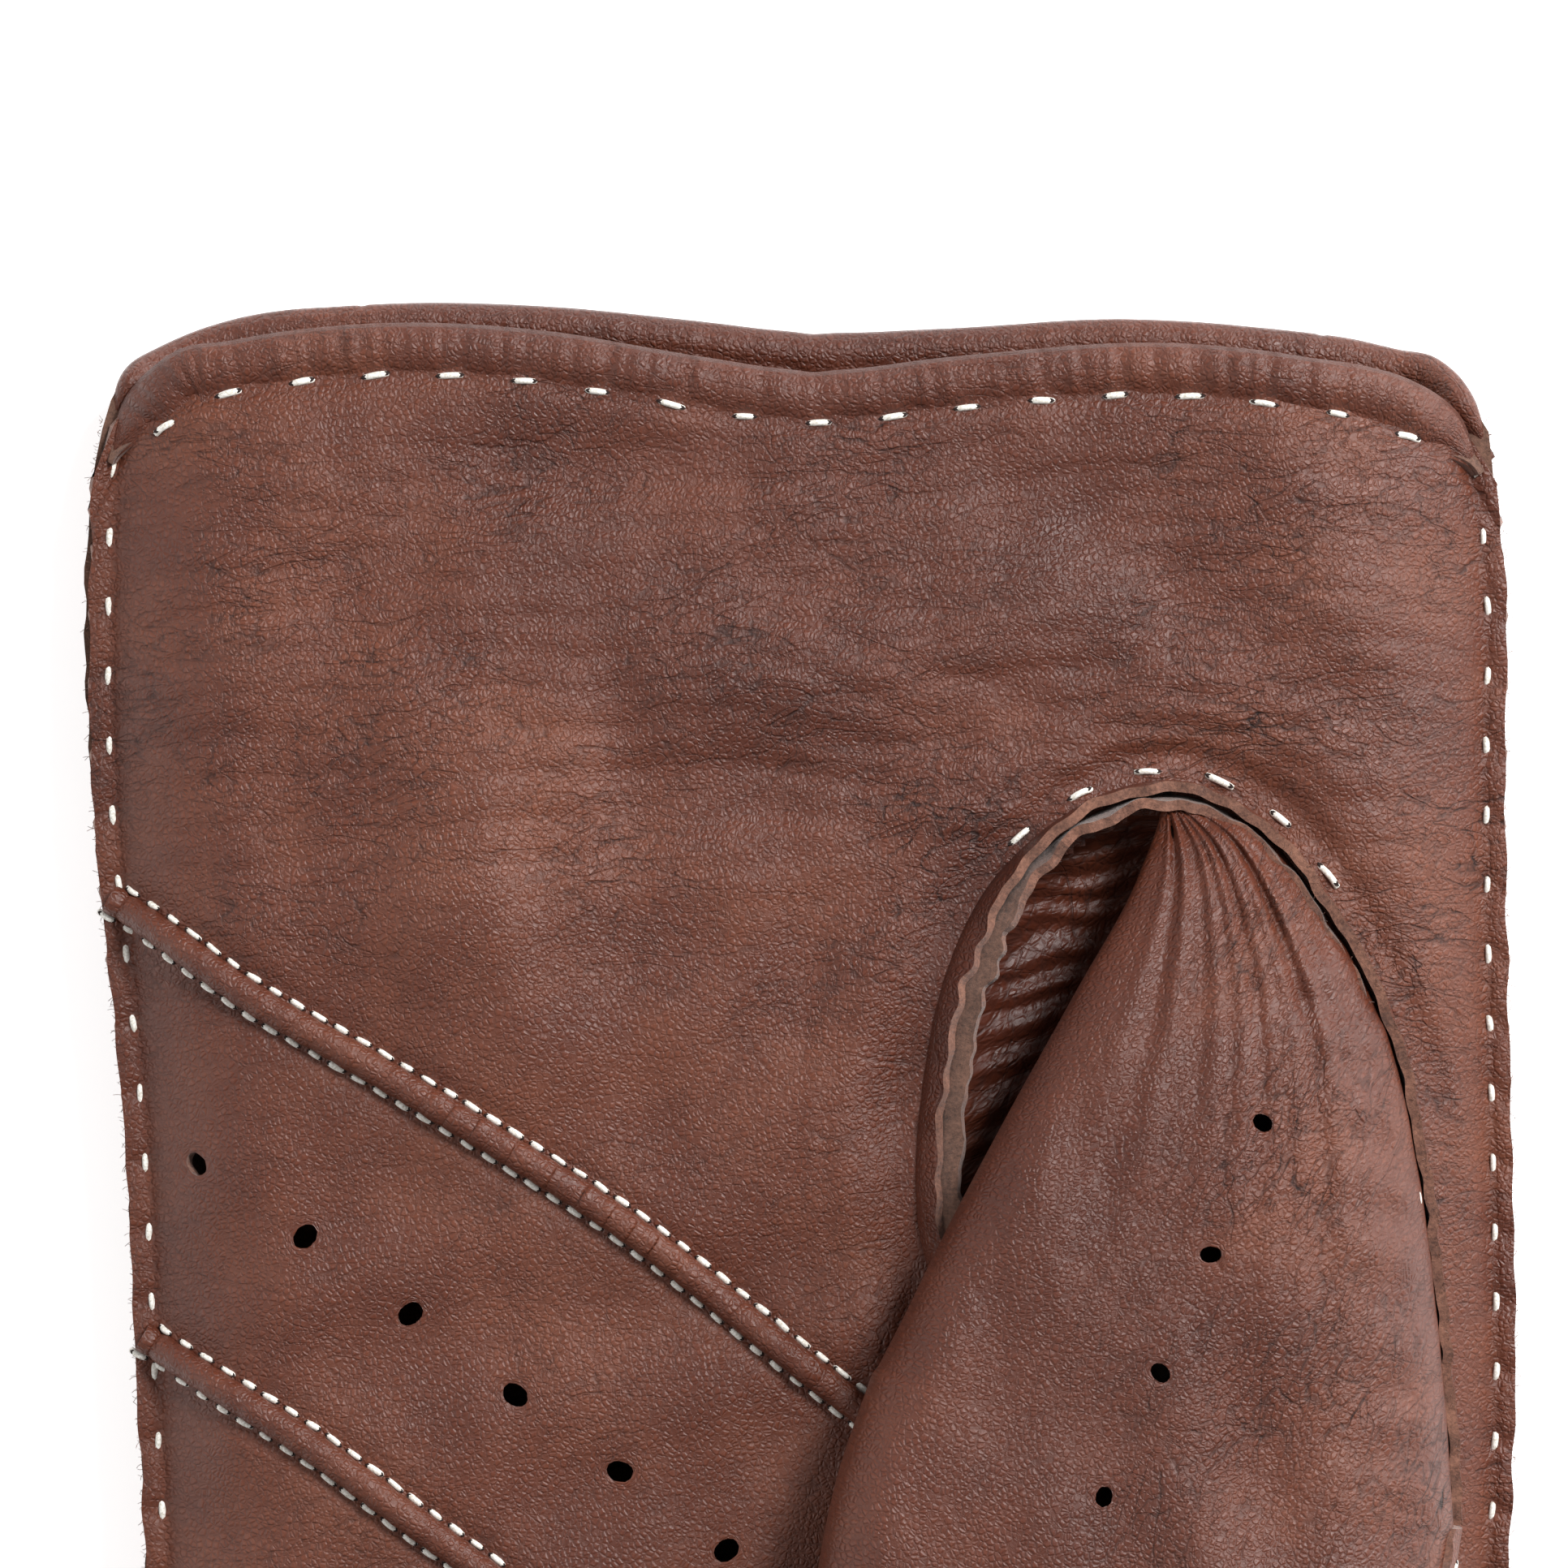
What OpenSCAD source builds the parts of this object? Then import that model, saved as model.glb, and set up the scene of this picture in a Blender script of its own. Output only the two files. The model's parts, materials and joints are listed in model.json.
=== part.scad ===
// Left-hand leather driving glove, lying palm up with its thumb folded over the palm.
// X runs across the hand (+X is the index side), +Y points to the cuff and +Z is the palm side.
// The origin is at the centre of the glove's footprint, on the surface it rests on.

/* [Hand] */
// Length from the back's cuff edge to the finger crotches
palm_length = 150; // [125:1:180]
// Width across the raw edges of the side seams at the cuff
cuff_width = 110; // [92:1:134]
// Outside height of the flattened hand and fingers
body_height = 14; // [11:0.5:18]
// Thickness of the glove leather
leather = 1; // [0.8:0.1:1.3]
// Distance from a seam's stitches to its raw edge
seam_allowance = 1.7; // [1.2:0.1:2.5]

/* [Cuff] */
// How far the palm's cuff edge sits below the back's
palm_setback = 2.4; // [1:0.1:5]
// Depth of the dip in the middle of the cuff edge
cuff_dip = 2; // [0:0.1:4]
// Half width of that dip
cuff_dip_reach = 14; // [8:1:20]
// Radius of the cuff corners
cuff_corner = 9; // [5:0.5:14]
// Width of the binding on each face of the cuff
binding_width = 3.2; // [2:0.1:5]
// Thickness of the skived binding leather
binding_leather = 0.5; // [0.3:0.1:0.6]
// How far the binding rolls past the cuff edge
binding_roll = 1.2; // [0.6:0.1:2]

/* [Fingers] */
// Width of the index finger at its base
index_width = 27; // [22:0.5:32]
// Width of the middle finger at its base
middle_width = 27; // [22:0.5:32]
// Width of the ring finger at its base
ring_width = 26; // [21:0.5:31]
// Width of the little finger at its base
little_width = 23; // [19:0.5:28]
// Length of the index finger from its crotch
index_length = 74; // [62:1:88]
// Length of the middle finger from its crotch
middle_length = 84; // [70:1:100]
// Length of the ring finger from its crotch
ring_length = 77; // [64:1:92]
// Length of the little finger from its crotch
little_length = 60; // [52:1:72]
// Gap between the seam edges of two fingers
finger_gap = 1.2; // [0.8:0.1:3]
// How much narrower a fingertip is than its base
tip_narrowing = 4; // [2:0.5:6]
// Length of the rounded end of a fingertip
tip_round = 11; // [8:0.5:14]

/* [Folds] */
// Distance from the crotches to the knuckle folds
knuckle_offset = 12; // [9:0.5:15]
// Distance from the knuckle fold to the middle fold, as a share of the finger beyond the knuckle
middle_fold_share = 0.37; // [0.3:0.01:0.45]
// Depth of a fold line below the palm side's surface
fold_drop = 3.5; // [2.5:0.1:5]
// Gap between two segments at a fold line
fold_slit = 0.4; // [0.3:0.05:0.8]
// Furthest curl at a knuckle fold, in degrees
knuckle_curl = 60; // [30:1:70]
// Furthest curl at a middle fold, in degrees
middle_curl = 70; // [30:1:80]
// Furthest lift of the thumb off the palm, in degrees
thumb_lift = 60; // [30:1:70]

/* [Thumb] */
// Distance from the cuff edge to the top of the thumb seam
thumb_depth = 38.4; // [32:0.2:48]
// Distance from the index side's seam edge to the thumb seam
thumb_edge = 5.6; // [4:0.2:9]
// Width of the thumb seam's arch, from its top to its index side
thumb_span = 22.5; // [18:0.5:27]
// Height of the thumb seam's arch
thumb_rise = 57.6; // [48:0.2:68]
// Sideways lean of the thumb's folded edge, per unit of length
thumb_lean = 0.46; // [0.35:0.01:0.5]
// Width of the thumb at its fold line
thumb_width = 48; // [40:1:56]
// Width of the thumb just before its rounded tip
thumb_tip_width = 34; // [28:1:40]
// Length of the thumb beyond its fold line
thumb_length = 50; // [42:1:58]
// Height of the flattened thumb
thumb_height = 11; // [9:0.5:14]
// Angle between the thumb and the fingers, in degrees
thumb_tilt = 16; // [8:1:20]
// How far the thumb opening's edge lies inside the thumb seam
thumb_opening_inset = 3.5; // [2:0.1:4.5]

/* [Palm details] */
// Distance from the cuff edge to the upper welt, at the little-finger side
upper_welt_depth = 46.5; // [38:0.5:56]
// Distance from the upper welt to the lower welt, along the hand
welt_spacing = 33; // [26:0.5:40]
// Fall of the welts across the palm, per unit of width
welt_slope = 0.65; // [0.5:0.01:0.75]
// Width of a corded welt
welt_width = 2.3; // [1.6:0.1:3]
// Height of a corded welt
welt_height = 1.4; // [0.8:0.1:2]
// Diameter of the punched air holes
hole_diameter = 1.9; // [1.2:0.1:3]
// Distance between two air holes
hole_pitch = 10.1; // [8:0.1:13]
// Distance from the palm's edge to its first air hole
first_hole = 7; // [5:0.5:12]

/* [Back details] */
// Width of a raised line on the back
point_width = 1.2; // [0.8:0.1:2]
// Length of a raised line on the back
point_length = 72; // [50:1:90]
// Distance from the crotches to the raised lines
point_start = 16; // [12:1:30]

/* [Thread] */
// Width of the sewing thread
thread = 0.5; // [0.3:0.05:0.7]

/* [Hidden] */
$fn = 48;

INDEX = 0;
MIDDLE = 1;
RING = 2;
LITTLE = 3;

leather_colour = "#6e4236";
welt_colour = "#7a4b3d";
thread_colour = "#f2eee2";

finger_width = [index_width, middle_width, ring_width, little_width];
finger_length = [index_length, middle_length, ring_length, little_length];
knuckle_width = index_width + middle_width + ring_width + little_width + 3 * finger_gap;

cuff_y = (palm_length + max(finger_length)) / 2;
crotch_y = cuff_y - palm_length;
knuckle_y = crotch_y - knuckle_offset;
body_top = body_height;
seam_z = body_height / 2;
fold_z = body_top - fold_drop;
fold_margin = 1.5;
thread_height = 0.3;
side_steps = 16;
cuff_steps = 24;
past = 1;

// The outer wall of a seam starts where its stitches are.
wall_out = seam_allowance;
wall_in = seam_allowance + leather;

// Plan of the hand ---------------------------------------------------------

// Half the hand's width over its raw seam edges, which eases from the cuff's width to the knuckles'.
function ease(t) = let (u = min(1, max(0, t))) u * u * (3 - 2 * u);
waist_y = cuff_y - thumb_depth;
function half_hand(y) =
    cuff_width / 2 + (knuckle_width - cuff_width) / 2 * ease((waist_y - y) / (waist_y - crotch_y));

// The cuff edge at x, for an edge whose ends are at y = top.
function cuff_edge(x, top) = top - cuff_dip * exp(-pow(x / cuff_dip_reach, 2));

// One side of the hand between y_low and y_high, inset from the raw edge.
function side_points(inset, y_low, y_high) = [
    for (i = [0:side_steps])
        let (y = y_low + (y_high - y_low) * i / side_steps)
        [half_hand(y) - inset, y]
];
function mirrored(points) = [for (i = [len(points) - 1:-1:0]) [-points[i][0], points[i][1]]];

module hand_area(inset, top) {
    corner = half_hand(cuff_y) - inset - cuff_corner;
    right = concat(
        side_points(inset, knuckle_y, top - cuff_corner),
        [for (a = [10:10:90]) [corner + cuff_corner * cos(a), top - cuff_corner + cuff_corner * sin(a)]],
        [for (i = [cuff_steps - 1:-1:1]) let (x = corner * i / cuff_steps) [x, cuff_edge(x, top)]]
    );
    polygon(concat(right, [[0, cuff_edge(0, top)]], mirrored(right)));
}

module side_strip(side, from_inset, to_inset, y_high) {
    outer = side_points(from_inset, knuckle_y, y_high);
    inner = side_points(to_inset, knuckle_y, y_high);
    scale_x(side) polygon(concat(outer, [for (i = [side_steps:-1:0]) inner[i]]));
}

// Mirrors its children to the little-finger side when side is -1.
module scale_x(side) {
    mirror([side < 0 ? 1 : 0, 0]) children();
}

module cuff_strip(top, low, high) {
    reach = half_hand(cuff_y) - wall_out - cuff_corner;
    xs = [for (i = [-cuff_steps:cuff_steps]) reach * i / cuff_steps];
    polygon(concat(
        [for (x = xs) [x, cuff_edge(x, top) + high]],
        [for (i = [2 * cuff_steps:-1:0]) [xs[i], cuff_edge(xs[i], top) + low]]
    ));
}

// Slots that part the fingers beyond their crotches.
function crotch_x(i) = finger_right(i) - finger_width[i] - finger_gap / 2;
module crotch_slots() {
    for (i = [INDEX:RING]) translate([crotch_x(i), 0]) {
        translate([-finger_gap / 2, knuckle_y - past])
            square([finger_gap, crotch_y - knuckle_y + past]);
    }
}

// Where the thumb seam's arch starts and ends.
thumb_top_x = cuff_width / 2 - thumb_edge - thumb_span;
thumb_top_y = cuff_y - thumb_depth;
thumb_foot_y = thumb_top_y - thumb_rise;

// Folds --------------------------------------------------------------------

// A fold line across y = 0: a slit up to z, and a V above it that opens towards the palm for the curl.
module fold_cut(curl, z, low, high, reach) {
    open = (high - z) * tan(curl / 2 + fold_margin);
    half = fold_slit / 2;
    rotate([90, 0, 90]) linear_extrude(2 * reach, center = true) polygon([
        [-half, z], [-half, low], [half, low], [half, z], [half + open, high], [-half - open, high]
    ]);
}

module knuckle_cut() {
    translate([0, knuckle_y, 0])
        fold_cut(knuckle_curl, fold_z, -past, body_top + past, knuckle_width);
}

function middle_fold_y(i) = knuckle_y - (finger_length[i] - knuckle_offset) * middle_fold_share;
module middle_cut(i) {
    translate([finger_mid(i), middle_fold_y(i), 0])
        fold_cut(middle_curl, fold_z, -past, body_top + past, finger_width[i]);
}

// Hand panels --------------------------------------------------------------

palm_edge_y = cuff_y - palm_setback - binding_roll;
back_edge_y = cuff_y - binding_roll;

module hand_sides(top, wall_low, wall_high, lip_low) {
    for (side = [-1, 1]) {
        translate([0, 0, wall_low]) linear_extrude(wall_high - wall_low)
            side_strip(side, wall_out, wall_in, top - cuff_corner);
        translate([0, 0, lip_low]) linear_extrude(leather)
            side_strip(side, 0, wall_out, top - cuff_corner);
    }
}

module palm_panel() {
    color(leather_colour) difference() {
        union() {
            translate([0, 0, body_top - leather]) linear_extrude(leather) difference() {
                hand_area(wall_out, palm_edge_y);
                crotch_slots();
                thumb_opening();
                palm_holes();
            }
            hand_sides(palm_edge_y, seam_z, body_top - leather, seam_z);
        }
        knuckle_cut();
    }
}

module back_panel() {
    color(leather_colour) difference() {
        union() {
            linear_extrude(leather) difference() {
                hand_area(wall_out, back_edge_y);
                crotch_slots();
            }
            hand_sides(back_edge_y, leather, seam_z, seam_z - leather);
        }
        knuckle_cut();
        translate([0, 0, -past]) linear_extrude(past + binding_leather)
            cuff_strip(back_edge_y, -binding_width, past);
        for (i = [INDEX:RING]) point_place(i)
            translate([0, 0, -past]) linear_extrude(past + point_depth)
                translate([-point_width / 2 - thread, 0]) square([point_width + 2 * thread, point_length]);
    }
}

// A binding folded over an edge of the given thickness, whose lower face is at z = low.
module cuff_binding(edge, low, edge_thickness) {
    color(leather_colour) difference() {
        translate([0, 0, low - binding_leather]) linear_extrude(edge_thickness + 2 * binding_leather)
            cuff_strip(edge, -binding_width, binding_roll);
        translate([0, 0, low]) linear_extrude(edge_thickness)
            cuff_strip(edge, -binding_width - past, 0);
    }
}
module palm_cuff_binding() cuff_binding(palm_edge_y, body_top - leather, leather);
module back_cuff_binding() cuff_binding(back_edge_y, binding_leather, leather - binding_leather);

module cuff_thread(edge, z) {
    line = 0.8 * binding_width;
    color(thread_colour) translate([0, 0, z]) linear_extrude(thread_height)
        cuff_strip(edge, -line, -line + thread);
}
module palm_cuff_thread() cuff_thread(palm_edge_y, body_top + binding_leather);
module back_cuff_thread() cuff_thread(back_edge_y, leather + binding_leather);

// The side seam's thread lies on the palm's seam edge, beside the wall.
module side_thread(side) {
    inset = wall_out - thread - 0.3;
    color(thread_colour) difference() {
        translate([0, 0, seam_z + leather]) linear_extrude(thread_height)
            side_strip(side, inset, inset + thread, palm_edge_y - cuff_corner);
        knuckle_cut();
    }
}

// Fourchette that lines the crotch between finger i and the next one.
module crotch_piece(i) {
    inner = finger_gap / 2 + wall_out;
    outer = inner + leather;
    length = crotch_y - knuckle_y;
    color(welt_colour) difference() {
        translate([crotch_x(i), crotch_y, leather]) linear_extrude(body_top - 2 * leather) difference() {
            union() {
                circle(outer);
                translate([-outer, -length]) square([2 * outer, length]);
            }
            circle(inner);
            translate([-inner, -length - past]) square([2 * inner, length + past]);
        }
        knuckle_cut();
    }
}

// Palm details -------------------------------------------------------------

welt_left_x = -half_hand(crotch_y) + wall_in;
function welt_line(x, depth) = cuff_y - depth - welt_slope * (x - welt_left_x);
lower_welt_depth = upper_welt_depth + welt_spacing;
welt_angle = atan(welt_slope);
// The upper welt runs to the thumb's folded edge, and the lower one to the index side.
upper_welt_right = (cuff_y - upper_welt_depth + welt_slope * welt_left_x - thumb_top_y
    + thumb_top_x / thumb_lean) / (1 / thumb_lean + welt_slope) - welt_width - 2 * thread;
lower_welt_right = min(half_hand(crotch_y) - wall_in,
    welt_left_x + (palm_length - lower_welt_depth - finger_gap - welt_width) / welt_slope);

module along_welt(depth, right, offset, width, low, high) {
    translate([welt_left_x, welt_line(welt_left_x, depth), low]) rotate([0, 0, -welt_angle])
        linear_extrude(high - low) translate([welt_width, offset - width / 2])
            square([(right - welt_left_x) / cos(welt_angle) - 2 * welt_width, width]);
}
module welt(depth, right) {
    color(welt_colour) along_welt(depth, right, 0, welt_width, body_top, body_top + welt_height);
}
module welt_threads(depth, right) {
    beside = (welt_width + thread) / 2;
    color(thread_colour) for (side = [-1, 1])
        along_welt(depth, right, side * beside, thread, body_top, body_top + thread_height);
}

// One row of air holes, midway between the welts, across the palm.
hole_step_x = hole_pitch * cos(welt_angle);
palm_hole_count = floor((2 * half_hand(crotch_y) - 2 * first_hole) / hole_step_x);
function palm_hole(k) =
    let (x = -half_hand(crotch_y) + first_hole + k * hole_step_x)
    [x, welt_line(x, upper_welt_depth + welt_spacing / 2)];
module palm_holes() {
    for (k = [0:palm_hole_count])
        if (palm_hole(k)[1] > crotch_y + hole_pitch / 2)
            translate(palm_hole(k)) circle(d = hole_diameter);
}

// Back details -------------------------------------------------------------

point_depth = binding_leather;
module point_place(i) {
    translate([crotch_x(i), crotch_y + point_start, 0]) children();
}
module back_point(i) {
    color(welt_colour) point_place(i)
        linear_extrude(point_depth) translate([-point_width / 2, 0]) square([point_width, point_length]);
}
module back_point_threads() {
    color(thread_colour) for (i = [INDEX:RING], side = [-1, 1])
        point_place(i) translate([side * (point_width + thread) / 2 - thread / 2, 0, point_depth / 2])
            linear_extrude(point_depth / 2) square([thread, point_length]);
}

// Fingers ------------------------------------------------------------------

function finger_right(i) =
    knuckle_width / 2 - (i > 0 ? finger_width[0] + finger_gap : 0)
    - (i > 1 ? finger_width[1] + finger_gap : 0) - (i > 2 ? finger_width[2] + finger_gap : 0);
function finger_mid(i) = finger_right(i) - finger_width[i] / 2;
function finger_end(i) = crotch_y - finger_length[i];

// The index's and the little finger's outer sides carry on the hand's side seams, with no fourchette.
function is_outer(i, side) = (i == INDEX && side > 0) || (i == LITTLE && side < 0);
function outer_side(i) = i == INDEX ? 1 : -1;

// Half of a finger segment's plan, on one side of its centre line, inset from the raw edge.
module half_lower(i, side, inset, extra = 0) {
    wide = finger_width[i] / 2 - inset;
    low = middle_fold_y(i) - extra;
    scale_x(side) translate([-extra, low]) square([wide + extra, knuckle_y - low + extra]);
}
module half_tip(i, side, inset, extra = 0) {
    wide = finger_width[i] / 2 - inset;
    narrow = wide - tip_narrowing / 2;
    centre = finger_end(i) + tip_round;
    scale_x(side) polygon(concat(
        [[-extra, middle_fold_y(i) + extra], [wide, middle_fold_y(i) + extra]],
        [for (a = [0:9:90]) [narrow * cos(a), centre - (tip_round - inset) * sin(a)]],
        [[-extra, centre - (tip_round - inset)]]
    ));
}
module half_plan(i, part, side, inset, extra = 0) {
    if (part == "lower") half_lower(i, side, inset, extra);
    else half_tip(i, side, inset, extra);
}

// The whole plan of a front or back, set back to the wall on an outer side.
function face_inset(i, side) = is_outer(i, side) ? wall_out : 0;
function tip_curve(i, side) =
    let (inset = face_inset(i, side), narrow = (finger_width[i] - tip_narrowing) / 2 - inset)
    [for (a = [0:9:90]) [
        side * narrow * cos(a), finger_end(i) + tip_round - (tip_round - inset) * sin(a)
    ]];
module face_plan(i, part) {
    right = finger_width[i] / 2 - face_inset(i, 1);
    left = -finger_width[i] / 2 + face_inset(i, -1);
    if (part == "lower")
        translate([left, middle_fold_y(i)]) square([right - left, knuckle_y - middle_fold_y(i)]);
    else {
        left_curve = tip_curve(i, -1);
        last = len(left_curve) - 1;
        polygon(concat(
            [[left, middle_fold_y(i)], [right, middle_fold_y(i)]],
            tip_curve(i, 1),
            [for (k = [last:-1:0]) if (k < last || face_inset(i, 1) != face_inset(i, -1)) left_curve[k]]
        ));
    }
}

module finger_wall(i, part, side) {
    difference() {
        half_plan(i, part, side, wall_out);
        half_plan(i, part, side, wall_in, past);
    }
}
module finger_lip(i, part, side) {
    difference() {
        half_plan(i, part, side, 0);
        half_plan(i, part, side, wall_out, past);
    }
}

module finger_place(i) {
    difference() {
        translate([finger_mid(i), 0, 0]) children();
        knuckle_cut();
        middle_cut(i);
    }
}

// The front or back leather of a finger: a flat face, with a wall and seam edge on an outer side.
module finger_face(i, part, face_z, wall_low, wall_high, lip_low, holes) {
    color(leather_colour) finger_place(i) difference() {
        union() {
            translate([0, 0, face_z]) linear_extrude(leather) face_plan(i, part);
            if (i == INDEX || i == LITTLE) {
                translate([0, 0, wall_low]) linear_extrude(wall_high - wall_low)
                    finger_wall(i, part, outer_side(i));
                translate([0, 0, lip_low]) linear_extrude(leather) finger_lip(i, part, outer_side(i));
            }
        }
        if (holes) finger_holes(i, part);
    }
}
module finger_front(i, part) {
    finger_face(i, part, body_top - leather, seam_z, body_top - leather, seam_z, true);
}
module finger_back(i, part) {
    finger_face(i, part, 0, leather, seam_z, seam_z - leather, false);
}

// Air holes down the middle of a finger's front, clear of its folds.
module finger_holes(i, part) {
    start = part == "lower" ? knuckle_y : middle_fold_y(i);
    stop = part == "lower" ? middle_fold_y(i) : finger_end(i) + tip_round;
    count = floor((start - stop - hole_pitch / 2) / hole_pitch);
    for (k = [0:count]) let (y = start - hole_pitch * (k + 0.75))
        if (y > stop + hole_diameter + fold_drop)
            translate([0, y, body_top - leather - past]) cylinder(h = leather + 2 * past, d = hole_diameter);
}

module fourchettes(i, part) {
    color(welt_colour) finger_place(i) for (side = [-1, 1]) if (!is_outer(i, side))
        translate([0, 0, leather]) linear_extrude(body_top - 2 * leather) difference() {
            finger_wall(i, part, side);
            // The two fourchettes of a finger stop just short of each other at its tip.
            translate([-fold_slit / 4, finger_end(i) - past]) square([fold_slit / 2, tip_round]);
        }
}

module finger_thread(i, part) {
    inset = (wall_out - thread) / 2;
    color(thread_colour) finger_place(i) for (side = [-1, 1]) if (!is_outer(i, side))
        translate([0, 0, body_top]) linear_extrude(thread_height) difference() {
            half_plan(i, part, side, inset);
            half_plan(i, part, side, inset + thread, past);
            translate([-fold_slit / 4, finger_end(i) - past]) square([fold_slit / 2, tip_round]);
        }
}

// Thumb --------------------------------------------------------------------

// The free thumb rests just above the lower welt, which runs under it.
thumb_low = body_top + welt_height + fold_slit;
thumb_top = thumb_low + thumb_height;
thumb_seam_z = thumb_low + thumb_height / 2;
thumb_fold_x = thumb_top_x + thumb_span - thumb_width / 2 * cos(thumb_tilt) - 1;
thumb_fold_y = thumb_foot_y - 1;

// Plan of the thumb's base: an elliptical arch on the index side and a straight folded edge.
module thumb_base_area(inset, low) {
    left_shift = inset * sqrt(1 + pow(thumb_lean, 2));
    function left_x(y) = thumb_top_x - thumb_lean * (thumb_top_y - y) + left_shift;
    wide = thumb_span - inset;
    high = thumb_rise - inset;
    function arch_x(y) = thumb_top_x + wide * sqrt(1 - pow(max(0, y - thumb_foot_y) / high, 2));
    first = 78;
    arch = [
        for (a = [first:-6:0])
            let (y = thumb_foot_y + high * sin(a))
            if (y > low + past) [arch_x(y), y]
    ];
    polygon(concat(
        [[left_x(arch[0][1]), arch[0][1]]],
        arch,
        [[arch_x(low), low], [left_x(low), low]]
    ));
}
thumb_base_end = thumb_fold_y - thumb_width / 2;

module thumb_opening() {
    thumb_base_area(thumb_opening_inset, thumb_foot_y + thumb_opening_inset);
}

module thumb_frame() {
    translate([thumb_fold_x, thumb_fold_y, 0]) rotate([0, 0, -thumb_tilt]) children();
}
module thumb_cut() {
    thumb_frame() fold_cut(thumb_lift, thumb_top - fold_drop, body_top - past, thumb_top + past,
        2 * thumb_width);
}

// Air holes down the thumb, which carry on across its fold line.
module thumb_holes() {
    shift = -thumb_width / 9;
    thumb_frame() rotate([0, 0, -8]) for (k = [-4:4]) translate([shift, hole_pitch * (0.5 - k), 0])
        if (k < (thumb_length - tip_round) / hole_pitch)
            translate([0, 0, thumb_top - leather - past]) cylinder(h = leather + 2 * past, d = hole_diameter);
}

module thumb_base() {
    color(leather_colour) difference() {
        union() {
            translate([0, 0, thumb_top - leather]) linear_extrude(leather)
                thumb_base_area(0, thumb_base_end);
            translate([0, 0, body_top]) linear_extrude(thumb_top - leather - body_top) difference() {
                thumb_base_area(0, thumb_base_end);
                thumb_base_area(leather, thumb_base_end - past);
            }
        }
        thumb_frame() translate([-thumb_width * 2, -thumb_width * 3, 0])
            cube([thumb_width * 4, thumb_width * 3, thumb_top + past]);
        thumb_cut();
        thumb_holes();
    }
}

module thumb_seam_thread() {
    color(thread_colour) translate([0, 0, body_top]) linear_extrude(thread_height) difference() {
        thumb_base_area(-2 * thread, thumb_foot_y);
        thumb_base_area(-thread, thumb_foot_y - past);
        translate([thumb_top_x - thumb_span * 2, thumb_foot_y - past])
            square([thumb_span * 2, thumb_rise * 2]);
    }
}

module thumb_area(inset, extra = 0) {
    wide = thumb_width / 2 - inset;
    narrow = thumb_tip_width / 2 - inset;
    centre = -thumb_length + tip_round;
    polygon(concat(
        [[-wide, extra], [wide, extra]],
        [for (a = [0:9:180]) [narrow * cos(a), centre - (tip_round - inset) * sin(a)]]
    ));
}
module thumb_half(face_z, wall_low, wall_high) {
    color(leather_colour) difference() {
        thumb_frame() {
            translate([0, 0, face_z]) linear_extrude(leather) thumb_area(0);
            translate([0, 0, wall_low]) linear_extrude(wall_high - wall_low) difference() {
                thumb_area(0);
                thumb_area(leather, past);
            }
        }
        thumb_cut();
        thumb_holes();
    }
}
module thumb_front() thumb_half(thumb_top - leather, thumb_seam_z, thumb_top - leather);
module thumb_back() thumb_half(thumb_low, thumb_low + leather, thumb_seam_z);

// The free thumb's thread runs round its index-side edge.
module thumb_thread() {
    color(thread_colour) difference() {
        thumb_frame() translate([0, 0, thumb_top]) linear_extrude(thread_height) difference() {
            thumb_area(thread);
            thumb_area(2 * thread, past);
            translate([-thumb_width, -thumb_length - past]) square([thumb_width, thumb_length + 2 * past]);
        }
        thumb_cut();
    }
}

// Nodes --------------------------------------------------------------------

palm_panel();
back_panel();
palm_cuff_binding();
back_cuff_binding();
palm_cuff_thread();
back_cuff_thread();
side_thread(1);  // index_side_thread
side_thread(-1);  // little_side_thread
welt(upper_welt_depth, upper_welt_right);  // upper_palm_welt
welt(lower_welt_depth, lower_welt_right);  // lower_palm_welt
welt_threads(upper_welt_depth, upper_welt_right);  // upper_welt_threads
welt_threads(lower_welt_depth, lower_welt_right);  // lower_welt_threads
back_point(INDEX);  // back_point_index
back_point(MIDDLE);  // back_point_middle
back_point(RING);  // back_point_little
back_point_threads();
crotch_piece(INDEX);  // index_middle_crotch
crotch_piece(MIDDLE);  // middle_ring_crotch
crotch_piece(RING);  // ring_little_crotch
thumb_base();
thumb_seam_thread();
thumb_front();
thumb_back();
thumb_thread();
finger_front(INDEX, "lower");  // index_front_lower
finger_back(INDEX, "lower");  // index_back_lower
fourchettes(INDEX, "lower");  // index_fourchette_lower
finger_thread(INDEX, "lower");  // index_thread_lower
finger_front(INDEX, "tip");  // index_front_tip
finger_back(INDEX, "tip");  // index_back_tip
fourchettes(INDEX, "tip");  // index_fourchette_tip
finger_thread(INDEX, "tip");  // index_thread_tip
finger_front(MIDDLE, "lower");  // middle_front_lower
finger_back(MIDDLE, "lower");  // middle_back_lower
fourchettes(MIDDLE, "lower");  // middle_fourchettes_lower
finger_thread(MIDDLE, "lower");  // middle_thread_lower
finger_front(MIDDLE, "tip");  // middle_front_tip
finger_back(MIDDLE, "tip");  // middle_back_tip
fourchettes(MIDDLE, "tip");  // middle_fourchettes_tip
finger_thread(MIDDLE, "tip");  // middle_thread_tip
finger_front(RING, "lower");  // ring_front_lower
finger_back(RING, "lower");  // ring_back_lower
fourchettes(RING, "lower");  // ring_fourchettes_lower
finger_thread(RING, "lower");  // ring_thread_lower
finger_front(RING, "tip");  // ring_front_tip
finger_back(RING, "tip");  // ring_back_tip
fourchettes(RING, "tip");  // ring_fourchettes_tip
finger_thread(RING, "tip");  // ring_thread_tip
finger_front(LITTLE, "lower");  // little_front_lower
finger_back(LITTLE, "lower");  // little_back_lower
fourchettes(LITTLE, "lower");  // little_fourchette_lower
finger_thread(LITTLE, "lower");  // little_thread_lower
finger_front(LITTLE, "tip");  // little_front_tip
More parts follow.
